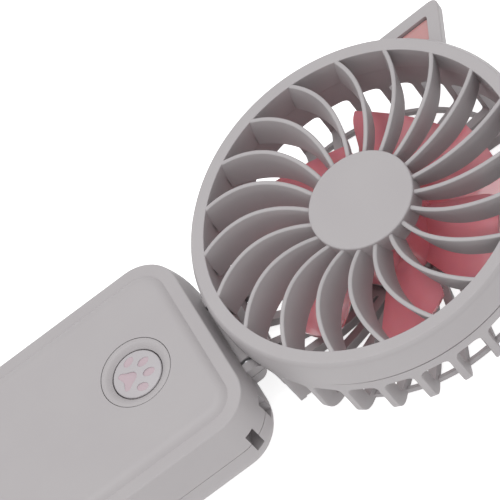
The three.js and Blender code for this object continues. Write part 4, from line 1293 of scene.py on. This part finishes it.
@dataclass
class Grille:
    """The fan's front: ring, hub disc, bowed fins and ear frames in one moulding."""

    face_radius: float = 45.0
    wall_radius: float = 46.0
    inner_radius: float = 41.6
    height: float = 28.0
    parting: float = 18.9
    edge_drop: float = 1.3
    bore: float = 0.5
    draft: float = 0.35
    edge_round: float = 0.45
    edge_start: float = 30.0
    edge_steps: int = 4
    groove_depth: float = 3.0
    groove_radius: float = 43.5
    groove_width: float = 1.5
    hub_radius: float = 13.8
    hub_drop: float = 1.0
    hub_edge: float = 0.45
    hub_edge_steps: int = 5
    hub_depth: float = 6.0
    hub_wall: float = 1.5
    fin_count: int = 20
    fin_depth: float = 8.1
    fin_drop: float = 0.1
    fin_hub_drop: float = 0.7
    fin_dome: float = 2.32
    fin_lean: float = 1.5
    fin_thickness: float = 1.2
    fin_round: float = 0.5
    fin_steps: int = 28
    fin_phase: float = 87.9
    fin_sweep: float = 11.6
    fin_bow: float = 4.2
    fin_root: float = 0.4
    fin_overrun: float = 0.02
    fin_nip: float = 0.12
    crest_steps: int = 6
    middle: Vector = field(init=False)

    def __post_init__(self) -> None:
        """Takes the fan's axis from the model."""
        self.middle = node_axis("motor_can")

    @property
    def hub_face(self) -> float:
        """The height of the hub disc's face."""
        return self.height - self.hub_drop

    @property
    def hub_inside(self) -> float:
        """The radius inside the hub's skirt."""
        return self.hub_radius - self.hub_wall

    @property
    def hub_under(self) -> float:
        """The underside of the hub disc."""
        return self.hub_face - self.hub_wall

    def ring(self) -> bpy.types.Object:
        """Builds the ring with its rounded front edge and the groove for the rear housing's lip.

        Returns:
            The ring.
        """
        foot = self.parting + SEAM / 2
        half = self.groove_width / 2
        slope_top = self.height - self.edge_drop
        groove_in, groove_out = self.groove_radius - half, self.groove_radius + half
        groove_top = self.parting + self.groove_depth
        wide, small = self.edge_round, self.edge_round / 2
        front = arc((self.face_radius - wide, self.height - wide), wide, self.edge_start, 90, self.edge_steps)
        inner = arc((self.inner_radius + small, self.height - small), small, 90, 180, self.edge_steps)
        profile = [(self.wall_radius, foot), (self.wall_radius - self.draft, slope_top), *front, *inner,
                   (self.inner_radius + self.bore, foot), (groove_in, foot), (groove_in, groove_top),
                   (groove_out, groove_top), (groove_out, foot)]
        return lathe("grille_moulding", profile, WIDE_TURN, closed=True)

    def hub(self) -> bpy.types.Object:
        """Builds the hub disc with its skirt.

        Returns:
            The hub.
        """
        skirt = self.hub_face - self.hub_depth
        edge = top_edge(self.hub_radius, self.hub_face, self.hub_edge, self.hub_edge_steps)
        profile = [(0, self.hub_under), (self.hub_inside, self.hub_under), (self.hub_inside, skirt),
                   (self.hub_radius, skirt), *edge, (0, self.hub_face)]
        return lathe("hub", profile)

    def fin(self, angle: float) -> bpy.types.Object:
        """Builds one fin: bowed in plan, domed along its rounded front edge and leaning to its flat foot.

        Args:
            angle: The angle of its outer end in degrees.

        Returns:
            The fin.
        """
        outer_top = self.height - self.fin_drop
        inner_top = self.hub_face - self.fin_hub_drop
        foot = self.height - self.fin_depth
        outer = polar(self.inner_radius + self.fin_root, 0, 0)
        inner = polar(self.hub_radius - self.fin_root / 2, -self.fin_sweep, 0)
        along = inner - outer
        side = Vector((along.y, -along.x, 0)).normalized()
        turn = Matrix.Rotation(math.radians(angle), 3, "Z")
        half, nip = self.fin_thickness / 2, self.fin_nip
        crest = arc((0, 0), 1, 0, 180, self.crest_steps)
        rings = []
        for spot in share_range(self.fin_steps):
            share = (1 + 2 * self.fin_overrun) * spot - self.fin_overrun
            arch = 4 * share * (1 - share)
            middle = outer + along * share - side * (self.fin_bow * arch)
            slope = (along - side * (4 * self.fin_bow * (1 - 2 * share))).normalized()
            across = Vector((-slope.y, slope.x, 0))
            top = outer_top + (inner_top - outer_top) * share + self.fin_dome * arch
            section = [(half * x, top - self.fin_round * (1 - y)) for x, y in crest]
            for out, up in ((-half, nip), (nip - half, 0), (half - nip, 0), (half, nip)):
                section.append((out - self.fin_lean, foot + up))
            rings.append([turn @ (middle + across * x + Vector((0, 0, z))) for x, z in section])
        return loft("fin", rings)

    def build_body(self) -> bpy.types.Object:
        """Joins ring, hub and fins about the Z axis.

        Returns:
            The moulding without its ears.
        """
        fins = [self.fin(self.fin_phase + 360 * i / self.fin_count) for i in range(self.fin_count)]
        whole = join(self.ring(), self.hub(), merge(fins))
        return carve(whole, disc("bored", self.hub_inside, self.parting, self.hub_under, steps=TURN))

    def build(self, finishes: Finishes) -> None:
        """Builds the moulding with its ears and dresses it.

        Args:
            finishes: The finishes that dress the pieces.
        """
        ears = Ears(self)
        whole = join(self.build_body(), ears.frame(-1), ears.frame(1))
        shift(whole, self.middle)
        finishes.settle(whole, SHELL, Body.HEAD, "front_grille")
        ears.build_inlays(finishes)


@dataclass
class Ears:
    """Two three-cornered ear frames on the ring, each with a tinted inlay."""

    grille: Grille
    tip_radius: float = 60.0
    tip_angle: float = 132.0
    outer_angle: float = 153.0
    inner_angle: float = 122.5
    top: float = 24.2
    thickness: float = 3.4
    rim: float = 3.3
    ledge: float = 0.8
    ledge_height: float = 0.9
    root: float = 1.6
    sink: float = 0.4
    foot: float = 1.75
    tip_round: float = 3.4
    window_round: float = 1.0
    bevel: float = 0.4
    inlay_thickness: float = 1.4
    inlay_bevel: float = 0.25
    curve_steps: int = 10

    def corners(self) -> list[Vector]:
        """Gives the frame's three corners in plan, for the left ear.

        Returns:
            The outer corner, the tip and the inner corner.
        """
        base = self.grille.wall_radius - self.root
        spots = ((base, self.outer_angle), (self.tip_radius, self.tip_angle), (base, self.inner_angle))
        return [polar(radius, angle, 0).to_2d() for radius, angle in spots]

    def inner_corners(self, insets: Sequence[float]) -> list[Vector]:
        """Draws the three sides in by their own insets and gives the new corners.

        Args:
            insets: How far each side moves in, starting with the side from the outer corner to the tip.

        Returns:
            The corners of the smaller triangle.
        """
        corners = self.corners()
        middle = sum(corners, Vector((0, 0))) / 3
        sides = []
        for i, corner in enumerate(corners):
            along = (corners[(i + 1) % 3] - corner).normalized()
            inward = Vector((-along.y, along.x))
            if (middle - corner).dot(inward) < 0:
                inward.negate()
            sides.append((corner + inward * insets[i], along))
        found = []
        for i, (start, along) in enumerate(sides):
            other_start, other_along = sides[i - 1]
            gap = other_start - start
            cross = along.x * other_along.y - along.y * other_along.x
            found.append(start + along * ((gap.x * other_along.y - gap.y * other_along.x) / cross))
        return found

    def rounded(self, corners: Sequence[Vector], rounds: Sequence[float], side: int) -> list[Point2]:
        """Rounds the corners of a triangle.

        Args:
            corners: Its corners.
            rounds: How far from each corner its curve starts.
            side: -1 for the left ear, 1 for the mirrored right one.

        Returns:
            The outline's points.
        """
        outline = []
        for i, corner in enumerate(corners):
            start = corner + (corners[i - 1] - corner).normalized() * rounds[i]
            end = corner + (corners[(i + 1) % 3] - corner).normalized() * rounds[i]
            for t in share_range(self.curve_steps):
                p = start * (1 - t) ** 2 + corner * 2 * t * (1 - t) + end * t * t
                outline.append((-side * p.x, p.y))
        return outline

    def window(self, grow: float, side: int) -> list[Point2]:
        """Gives the window's outline, larger by a margin.

        Args:
            grow: The margin, negative for a smaller window.
            side: -1 for the left ear, 1 for the right one.

        Returns:
            The outline's points.
        """
        foot = self.root + self.foot
        corners = self.inner_corners([self.rim - grow, self.rim - grow, foot - grow])
        return self.rounded(corners, [self.window_round] * 3, side)

    def frame(self, side: int) -> bpy.types.Object:
        """Builds one ear frame about the Z axis, cut back to the ring's wall.

        Args:
            side: -1 for the left ear, 1 for the right one.

        Returns:
            The frame.
        """
        low = self.top - self.thickness
        outline = self.rounded(self.corners(), [self.root, self.tip_round, self.root], side)
        radius = self.grille.wall_radius - self.grille.draft - self.sink
        return carve(prism("ear", outline, low, self.top, self.bevel),
                     prism("through", self.window(-self.ledge, side), low - OVER, self.top + OVER),
                     prism("seat", self.window(0, side), low + self.ledge_height, self.top + OVER),
                     disc("bore", radius, 0, self.grille.height, steps=WIDE_TURN))

    def build_inlays(self, finishes: Finishes) -> None:
        """Builds and dresses the two inlays.

        Args:
            finishes: The finishes that dress the pieces.
        """
        low = self.top - self.thickness + self.ledge_height + SEAM
        for side, name in ((-1, "left"), (1, "right")):
            outline = self.window(-SEAM, side)
            inlay = prism(f"ear_panel_{name}", outline, low, low + self.inlay_thickness, self.inlay_bevel)
            shift(inlay, self.grille.middle)
            finishes.settle(inlay, ACRYLIC, Body.HEAD, f"ear_inlay_{name}")


@dataclass
class RearHousing:
    """The rear shell: a band over thirty ribs that turn from the side onto the back and spiral to the hub."""

    hinge: Hinge
    grille: Grille
    radius: float = 45.5
    window_top: float = 15.0
    window_inner_top: float = 12.4
    count: int = 30
    phase: float = -5.4
    rib: float = 2.05
    rib_back: float = 2.3
    flank_turn: float = 0.75
    rib_edge: float = 0.2
    rib_edge_depth: float = 0.4
    side_depth: float = 3.9
    bend: float = 0.6
    back_depth: float = 3.3
    clear: float = 0.5
    corner: float = 4.6
    window_round: float = 1.8
    corner_sweep: float = 0.6
    corner_power: float = 2.0
    sweep: float = 20.0
    hub_radius: float = 14.5
    hub_thickness: float = 2.0
    hub_edge: float = 0.5
    seat_wall: float = 1.2
    seat_height: float = 2.4
    ring_radius: float = 40.4
    ring_width: float = 0.95
    ring_height: float = 1.6
    shadow_gap: float = 0.95
    shadow_depth: float = 0.45
    top_draft: float = 0.6
    heel_depth: float = 1.8
    relief: float = 4.6
    relief_side: float = 5.0
    screw_spacing: float = 13.0
    screw_head: float = 1.8
    screw_head_depth: float = 1.45
    screw_hole: float = 0.85
    hub_lap: float = 1.0
    hub_lip: float = 1.5
    heel_rise: float = 1.3
    room_depth: float = 12.0
    overrun: float = 2.0
    core_start: Point2 = (-3.2, 1.4)
    core_end: Point2 = (-0.6, 3.4)
    corner_steps: int = 12
    edge_steps: int = 4
    corner_rings: int = 6
    back_rings: int = 12
    side_shares: tuple[float, ...] = (0.0, 0.02, 0.06, 0.12, 0.2, 0.3, 0.45, 0.7, 1.0)

    def section(self) -> list[Point2]:
        """Gives the shell's closed section, from the hub along the back and round the corner to the lip.

        Returns:
            The section as (radius, height).
        """
        out, foot = self.radius, self.clear
        top = self.grille.parting - SEAM / 2
        half = self.grille.groove_width / 2 - SEAM
        lip_in, lip_out = self.grille.groove_radius - half, self.grille.groove_radius + half
        lip_top = top + self.grille.groove_depth / 2
        shadow_foot, shadow_in = top - self.shadow_gap, out - self.shadow_depth
        inner_end = self.hub_radius - self.hub_lap
        corner = foot_edge(out, foot, self.corner, self.corner_steps)
        inside_x, inside_z = out - self.side_depth, foot + self.back_depth
        inside = arc((inside_x - self.bend, inside_z + self.bend), self.bend, 0, -90, self.edge_steps)
        return [(inner_end, foot), *corner, (out, shadow_foot), (shadow_in, shadow_foot), (shadow_in, top),
                (lip_out, top), (lip_out, lip_top), (lip_in, lip_top), (lip_in, top),
                (inside_x + self.top_draft, top), (inside_x, self.window_top), *inside, (inner_end, inside_z)]

    def spiral(self, radius: float) -> float:
        """Gives how far a rib has turned about the axis where it reaches a radius.

        Args:
            radius: The distance from the axis.

        Returns:
            The turn in degrees.
        """
        turn_r = self.radius - self.corner
        if radius >= turn_r:
            return self.corner_sweep * (max(0.0, self.radius - radius) / self.corner) ** self.corner_power
        return self.corner_sweep + self.sweep * math.log(turn_r / radius) / math.log(turn_r / self.hub_radius)

    def window(self, angle: float) -> bpy.types.Object:
        """Builds the tool for one window between two ribs.

        Args:
            angle: The angle of the window's middle on the side wall, in degrees.

        Returns:
            The tool, a loft along the shell from the side's top to the hub.
        """
        out, foot, over, edge = self.radius, self.clear, self.overrun, self.rib_edge_depth
        bend = Vector((out - self.corner, foot + self.corner))
        pitch = 2 * math.pi / self.count
        slope = (self.window_top - self.window_inner_top) / self.side_depth
        tilt = self.flank_turn / self.side_depth
        rings = []

        def add(spots: Sequence[Sequence[float]], half: float, at: float, twist: float) -> None:
            """Adds one ring of the loft.

            Args:
                spots: (radius, height) of the ring's outer end, of its kink and of its inner end. The kink
                    lies where the ribs' rounded edges end.
                half: Half the window's width there.
                at: The radius at which that width is measured.
                twist: How far the spiral of the back has set in, from 0 to 1.
            """
            flare = self.rib_edge * (over + edge) / edge
            low, high = [], []
            for (radius, z), more in zip(spots, (flare, 0.0, 0.0)):
                spread = math.degrees((half + more) / at)
                middle = angle + twist * self.spiral(radius)
                high.append(polar(radius, middle + spread, z))
                low.append(polar(radius, middle - spread + (1 - twist) * tilt * (out - radius), z))
            rings.append([low[0], *high, *reversed(low[1:])])

        height, inner_height = self.window_top - bend.y, self.window_inner_top - bend.y
        for share in self.side_shares:
            near_top = max(0.0, 1 - height * share / self.window_round)
            narrowing = self.window_round * (1 - math.sqrt(1 - near_top ** 2))
            drop = 1 - share
            add(((out + over, bend.y + (height + slope * over) * drop),
                 (out - edge, bend.y + (height - slope * edge) * drop),
                 (out - self.side_depth - over, bend.y + (inner_height - slope * over) * drop)),
                (pitch * out - self.rib) / 2 - narrowing, out, 0.0)
        for share in share_range(self.corner_rings)[1:]:
            turn = math.radians(90 * share)
            outward = Vector((math.cos(turn), -math.sin(turn)))
            core = Vector(self.core_start).lerp(Vector(self.core_end), share)
            radius = bend.x + self.corner * math.cos(turn)
            rib = self.rib + (self.rib_back - self.rib) * share
            add((bend + outward * (self.corner + over), bend + outward * (self.corner - edge), bend + core),
                (pitch * radius - rib) / 2, radius, share)
        for share in share_range(self.back_rings)[1:]:
            radius = bend.x + (self.hub_radius - bend.x) * share
            add(((radius, foot - over), (radius, foot + edge), (radius, foot + self.back_depth + over)),
                (pitch * radius - self.rib_back) / 2, radius, 1.0)
        return loft("window", rings)

    def hub(self) -> bpy.types.Object:
        """Builds the back's disc with the motor's seat.

        Returns:
            The disc.
        """
        foot, top = self.clear, self.clear + self.hub_thickness
        low, high = node_box("motor_can")
        motor = (high.x - low.x) / 2 + SEAM
        seat_out, seat_top = motor + self.seat_wall, top + self.seat_height
        lip_in, lip_top = self.hub_radius - self.hub_lip, foot + self.back_depth
        edge = foot_edge(self.hub_radius, foot, self.hub_edge, self.edge_steps)
        profile = [(0, foot), *edge, (self.hub_radius, lip_top), (lip_in, lip_top), (lip_in, top),
                   (seat_out, top), (seat_out, seat_top), (motor, seat_top), (motor, top), (0, top)]
        return lathe("hub", profile)

    def add_knuckle(self, whole: bpy.types.Object) -> None:
        """Joins the hinge's knuckle to the shell and makes room for the handle round it.

        Args:
            whole: The shell, which changes.
        """
        hinge = self.hinge
        y = hinge.middle.y - self.grille.middle.y
        line = Vector((0, y, hinge.middle.z))
        front = y + self.relief
        back = front + self.heel_depth
        half, neck = hinge.recess_half + self.relief_side, hinge.knuckle_half
        below, above = hinge.knuckle_foot, hinge.knuckle_top
        top = self.window_inner_top + self.heel_rise
        join(whole, box("heel", (-half, front, self.clear), (half, back, top)))
        carve(whole, box("room", (-half, front - self.room_depth, -self.overrun), (half, front, below)))
        for side in (-1, 1):
            start, end = sorted((side * neck, side * hinge.recess_half))
            carve(whole, rod_x("lug_room", hinge.recess_radius, start, end, line))
        join(whole, rod_x("knuckle", hinge.knuckle_radius, -neck, neck, line),
             box("neck", (-neck, y, below), (neck, back, above)))
        carve(whole, rod_x("bore", hinge.pin_radius + hinge.running_gap, -hinge.lug_inner, hinge.lug_inner,
                           line))

    def build(self, finishes: Finishes) -> None:
        """Builds the shell, cuts its windows, adds hub, ring and knuckle, and dresses it.

        Args:
            finishes: The finishes that dress the pieces.
        """
        step, low = 360 / self.count, self.clear
        windows = [self.window(self.phase + step * (i + 0.5)) for i in range(self.count)]
        whole = carve(lathe("rib_housing", self.section(), WIDE_TURN, closed=True), merge(windows))
        radii = (self.ring_radius - self.ring_width, self.ring_radius)
        join(whole, tube("ring", radii, low, low + self.ring_height), self.hub())
        self.add_knuckle(whole)
        for side in (-1, 1):
            spot = Vector((side * self.screw_spacing / 2, 0, 0))
            carve(whole, disc("head", self.screw_head, -OVER, self.screw_head_depth, spot),
                  disc("shank", self.screw_hole, -OVER, low + self.hub_thickness + OVER, spot))
        shift(whole, self.grille.middle)
        finishes.settle(whole, SHELL, Body.HEAD, "rear_housing")


@dataclass
class Impeller:
    """Seven twisted blades on a capped hub."""

    grille: Grille
    blades: int = 7
    tip_radius: float = 32.0
    root_top: float = 18.4
    root_foot: float = 7.2
    tip_top: float = 18.6
    tip_foot: float = 7.8
    sag: float = 1.4
    thickness: float = 1.3
    taper: float = 0.45
    phase: float = 6.5
    turn: float = 41.0
    lead: float = 2.0
    tip_round: float = 3.0
    round_power: int = 8
    spans: int = 18
    chords: int = 14
    hub_radius: float = 12.7
    hub_wall: float = 1.2
    hub_top: float = 19.5
    hub_foot: float = 6.6
    hub_edge: float = 0.8
    hub_edge_steps: int = 6
    boss_radius: float = 2.6
    boss_length: float = 2.9
    shaft_radius: float = 1.15
    sharp: float = 50.0

    @property
    def inside(self) -> float:
        """The radius inside the hub's wall."""
        return self.hub_radius - self.hub_wall

    @property
    def under(self) -> float:
        """The underside of the hub's cap."""
        return self.hub_top - self.hub_wall

    @property
    def boss_foot(self) -> float:
        """The lower end of the boss."""
        return self.under - self.boss_length

    def blade(self, angle: float) -> bpy.types.Object:
        """Builds one blade from the hub to its rounded tip.

        Args:
            angle: The angle of the blade's leading root, in degrees.

        Returns:
            The blade.
        """
        root = self.hub_radius - self.hub_wall / 2
        rings = []
        for i in range(self.spans + 1):
            share = math.sin(math.pi / 2 * i / self.spans)
            radius = root + (self.tip_radius - root) * share
            top = self.root_top + (self.tip_top - self.root_top) * share
            foot = self.root_foot + (self.tip_foot - self.root_foot) * share
            rounding = self.tip_round * share ** self.round_power
            start = self.lead * share - rounding
            end = rounding - self.turn
            front, back = [], []
            for chord in share_range(self.chords):
                turn = angle + start + (end - start) * chord
                z = top + (foot - top) * chord - self.sag * 4 * chord * (1 - chord)
                thick = self.thickness / 2 * (1 - self.taper * abs(2 * chord - 1))
                front.append(polar(radius, turn, z + thick))
                back.insert(0, polar(radius, turn, z - thick))
            rings.append([*front, *back])
        return loft("blade", rings)

    def hub(self) -> bpy.types.Object:
        """Builds the hub cap with its boss.

        Returns:
            The hub.
        """
        edge = top_edge(self.hub_radius, self.hub_top, self.hub_edge, self.hub_edge_steps)
        profile = [(0, self.boss_foot), (self.boss_radius, self.boss_foot), (self.boss_radius, self.under),
                   (self.inside, self.under), (self.inside, self.hub_foot), (self.hub_radius, self.hub_foot),
                   *edge, (0, self.hub_top)]
        return lathe("hub", profile)

    def build(self, finishes: Finishes) -> None:
        """Builds and dresses the impeller.

        Args:
            finishes: The finishes that dress the pieces.
        """
        step = 360 / self.blades
        whole = merge([self.blade(self.phase + step * i) for i in range(self.blades)])
        whole.name = "bladed_impeller"
        carve(whole, disc("core", self.inside, self.hub_foot - 2 * OVER, self.under, steps=TURN))
        join(whole, self.hub())
        bore_top = self.hub_top - self.hub_wall / 2
        carve(whole, disc("bore", self.shaft_radius, self.boss_foot - OVER, bore_top))
        shift(whole, self.grille.middle)
        finishes.settle(whole, ROSE, Body.ROTOR, "impeller", sharp=self.sharp)


@dataclass
class Screw:
    """A pan head screw with a cross recess."""

    node: str
    body: Body
    head_radius: float
    head_height: float
    radius: float
    slot_width: float = 0.45
    slot_depth: float = 0.6
    slot_share: float = 0.6
    dome_power: float = 0.8
    dome_steps: int = 6

    def build(self, finishes: Finishes) -> None:
        """Builds the screw in its node's place, with its head downwards.

        Args:
            finishes: The finishes that dress the pieces.
        """
        low, high = node_box(self.node)
        spot = node_axis(self.node)
        dome = [(self.head_radius * x, low.z + self.head_height * (1 - y ** self.dome_power))
                for x, y in arc((0, 0), 1, 90, 0, self.dome_steps)[1:]]
        profile = [(0.0, low.z), *dome, (self.radius, low.z + self.head_height),
                   (self.radius, high.z - self.radius), (0, high.z)]
        screw = lathe(f"pan_head_{self.node}", profile, SMALL_TURN, spot)
        long, wide = self.head_radius * self.slot_share, self.slot_width / 2
        for x, y in ((long, wide), (wide, long)):
            reach = Vector((x, y, 0))
            slot_foot, slot_top = Vector((0, 0, low.z - OVER)), Vector((0, 0, low.z + self.slot_depth))
            carve(screw, box("slot", spot - reach + slot_foot, spot + reach + slot_top))
        finishes.settle(screw, STEEL, self.body, self.node)


def seen_rays(tree: bpy.types.NodeTree) -> bpy.types.NodeSocket:
    """Gives 1 for the rays that show the backdrop: straight, mirrored and through clear matter.

    Args:
        tree: The node tree that asks.

    Returns:
        The socket with the answer.
    """
    rays = add_node(tree, "ShaderNodeLightPath").outputs
    seen = add_node(tree, "ShaderNodeMath", {"operation": "MAXIMUM"},
                    {0: rays["Is Camera Ray"], 1: rays["Is Glossy Ray"]})
    wider = add_node(tree, "ShaderNodeMath", {"operation": "MAXIMUM"},
                     {0: seen.outputs[0], 1: rays["Is Transmission Ray"]})
    return wider.outputs[0]


@dataclass(frozen=True)
class Lamp:
    """A soft round lamp. The camera's own axes give its direction from the subject."""

    name: str
    right: float
    up: float
    back: float
    power: float
    size: float = 500.0
    distance: float = 900.0


@dataclass
class Studio:
    """The camera, the pale floor and the soft lamps."""

    camera_place: Point3 = (494.1, 83.5, 643.6)
    camera_right: Point3 = (0.4235, 0.8006, -0.4239)
    camera_up: Point3 = (-0.6516, 0.5943, 0.4714)
    lens: float = 235.3
    sensor: float = 36.0
    sight: Point2 = (0.01, 20.0)
    floor_size: float = 6000.0
    floor_glow: float = 0.8
    fibre_mm: float = 2.0
    subject: Point3 = (0.0, 10.0, 14.0)
    fill_light: float = 0.62
    paper: str = "#f4f4f4"
    fibre: str = "#efefef"
    lamps: tuple[Lamp, ...] = (
        Lamp("key_lamp", -0.75, 0.75, 1.0, 2.3),
        Lamp("front_lamp", 0.15, -0.8, 0.9, 0.9),
        Lamp("low_lamp", 0.95, -0.45, -0.1, 1.2),
    )

    def axes(self) -> Matrix:
        """Gives the camera's right, up and backward directions as columns.

        Returns:
            The directions as a turn from the camera's space to the scene's.
        """
        right = Vector(self.camera_right).normalized()
        up = Vector(self.camera_up)
        up = (up - right * up.dot(right)).normalized()
        return Matrix((right, up, right.cross(up))).transposed()

    def add_camera(self) -> None:
        """Puts the camera where the photograph was taken from."""
        data = bpy.data.cameras.new("studio_camera")
        data.lens = self.lens
        data.sensor_width = self.sensor
        data.clip_start, data.clip_end = self.sight
        camera = add_object("studio_camera", data)
        camera.matrix_world = Matrix.Translation(Vector(self.camera_place) * MM) @ self.axes().to_4x4()
        bpy.context.scene.camera = camera

    def add_lamps(self) -> None:
        """Hangs the soft lamps round the camera's line of sight."""
        axes = self.axes()
        for lamp in self.lamps:
            away = (axes @ Vector((lamp.right, lamp.up, lamp.back))).normalized()
            data = bpy.data.lights.new(lamp.name, "AREA")
            data.shape = "DISK"
            data.size = lamp.size * MM
            data.energy = lamp.power
            hung = add_object(lamp.name, data)
            hung.location = (Vector(self.subject) + away * lamp.distance) * MM
            hung.rotation_mode = "QUATERNION"
            hung.rotation_quaternion = (-away).to_track_quat("-Z", "Y")

    def add_world(self) -> None:
        """Surrounds the scene with an even pale light that shows white to the camera."""
        world = bpy.data.worlds.new("studio_world")
        bpy.context.scene.world = world
        world.use_nodes = True
        tree = world.node_tree
        tree.nodes.clear()
        soft = add_node(tree, "ShaderNodeBackground", {"Strength": self.fill_light})
        white = add_node(tree, "ShaderNodeBackground", {"Strength": 1.0})
        for light in (soft, white):
            light.inputs["Color"].default_value = linear("#ffffff")
        mixed = add_node(tree, "ShaderNodeMixShader", None,
                         {0: seen_rays(tree), 1: soft.outputs[0], 2: white.outputs[0]})
        add_node(tree, "ShaderNodeOutputWorld", None, {"Surface": mixed.outputs[0]})

    def add_floor(self) -> None:
        """Lays the pale floor, which shows white and keeps a faint shadow."""
        material, tree, surface, place = blank_material("white_paper_floor")
        fibres = add_node(tree, "ShaderNodeTexNoise", {"Scale": 1 / (self.fibre_mm * MM)}, {"Vector": place})
        paper = add_node(tree, "ShaderNodeMix",
                         {"data_type": "RGBA", 6: linear(self.paper), 7: linear(self.fibre)},
                         {0: fibres.outputs["Fac"]})
        lit = add_node(tree, "ShaderNodeBsdfDiffuse", None, {"Color": paper.outputs[2]})
        glow = add_node(tree, "ShaderNodeEmission", {"Strength": self.floor_glow})
        both = add_node(tree, "ShaderNodeAddShader", None, {0: lit.outputs[0], 1: glow.outputs[0]})
        mixed = add_node(tree, "ShaderNodeMixShader", None,
                         {0: seen_rays(tree), 1: lit.outputs[0], 2: both.outputs[0]})
        tree.links.new(mixed.outputs[0], surface)
        half = self.floor_size / 2 * MM
        mesh = bpy.data.meshes.new("floor")
        corners = [(-half, -half, 0), (half, -half, 0), (half, half, 0), (-half, half, 0)]
        mesh.from_pydata(corners, [], [(0, 1, 2, 3)])
        mesh.materials.append(material)
        add_object("floor", mesh)

    def build(self) -> None:
        """Sets up the whole studio."""
        bpy.context.scene.view_settings.view_transform = "Standard"
        self.add_camera()
        self.add_lamps()
        self.add_world()
        self.add_floor()


def main() -> None:
    """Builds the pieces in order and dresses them."""
    logging.basicConfig(level=logging.INFO, format="%(message)s")
    Studio().build()
    finishes = Finishes()
    hinge, grille = Hinge(), Grille()
    handle = Handle(hinge)
    cover_screws = [Screw(f"cover_screw_{number}", Body.HANDLE, head_radius=1.6, head_height=1.1, radius=0.9)
                    for number in (1, 2, 3, 4)]
    motor_screws = [Screw(f"motor_screw_{number}", Body.HEAD, head_radius=1.5, head_height=0.8, radius=0.7,
                          slot_depth=0.45) for number in (1, 2)]
    for part in (hinge, handle, ChargingSocket(), PushButton(handle), grille, RearHousing(hinge, grille),
                 Impeller(grille), *cover_screws, *motor_screws):
        part.build(finishes)
    finishes.dress_cad()


if __name__ == "__main__":
    main()
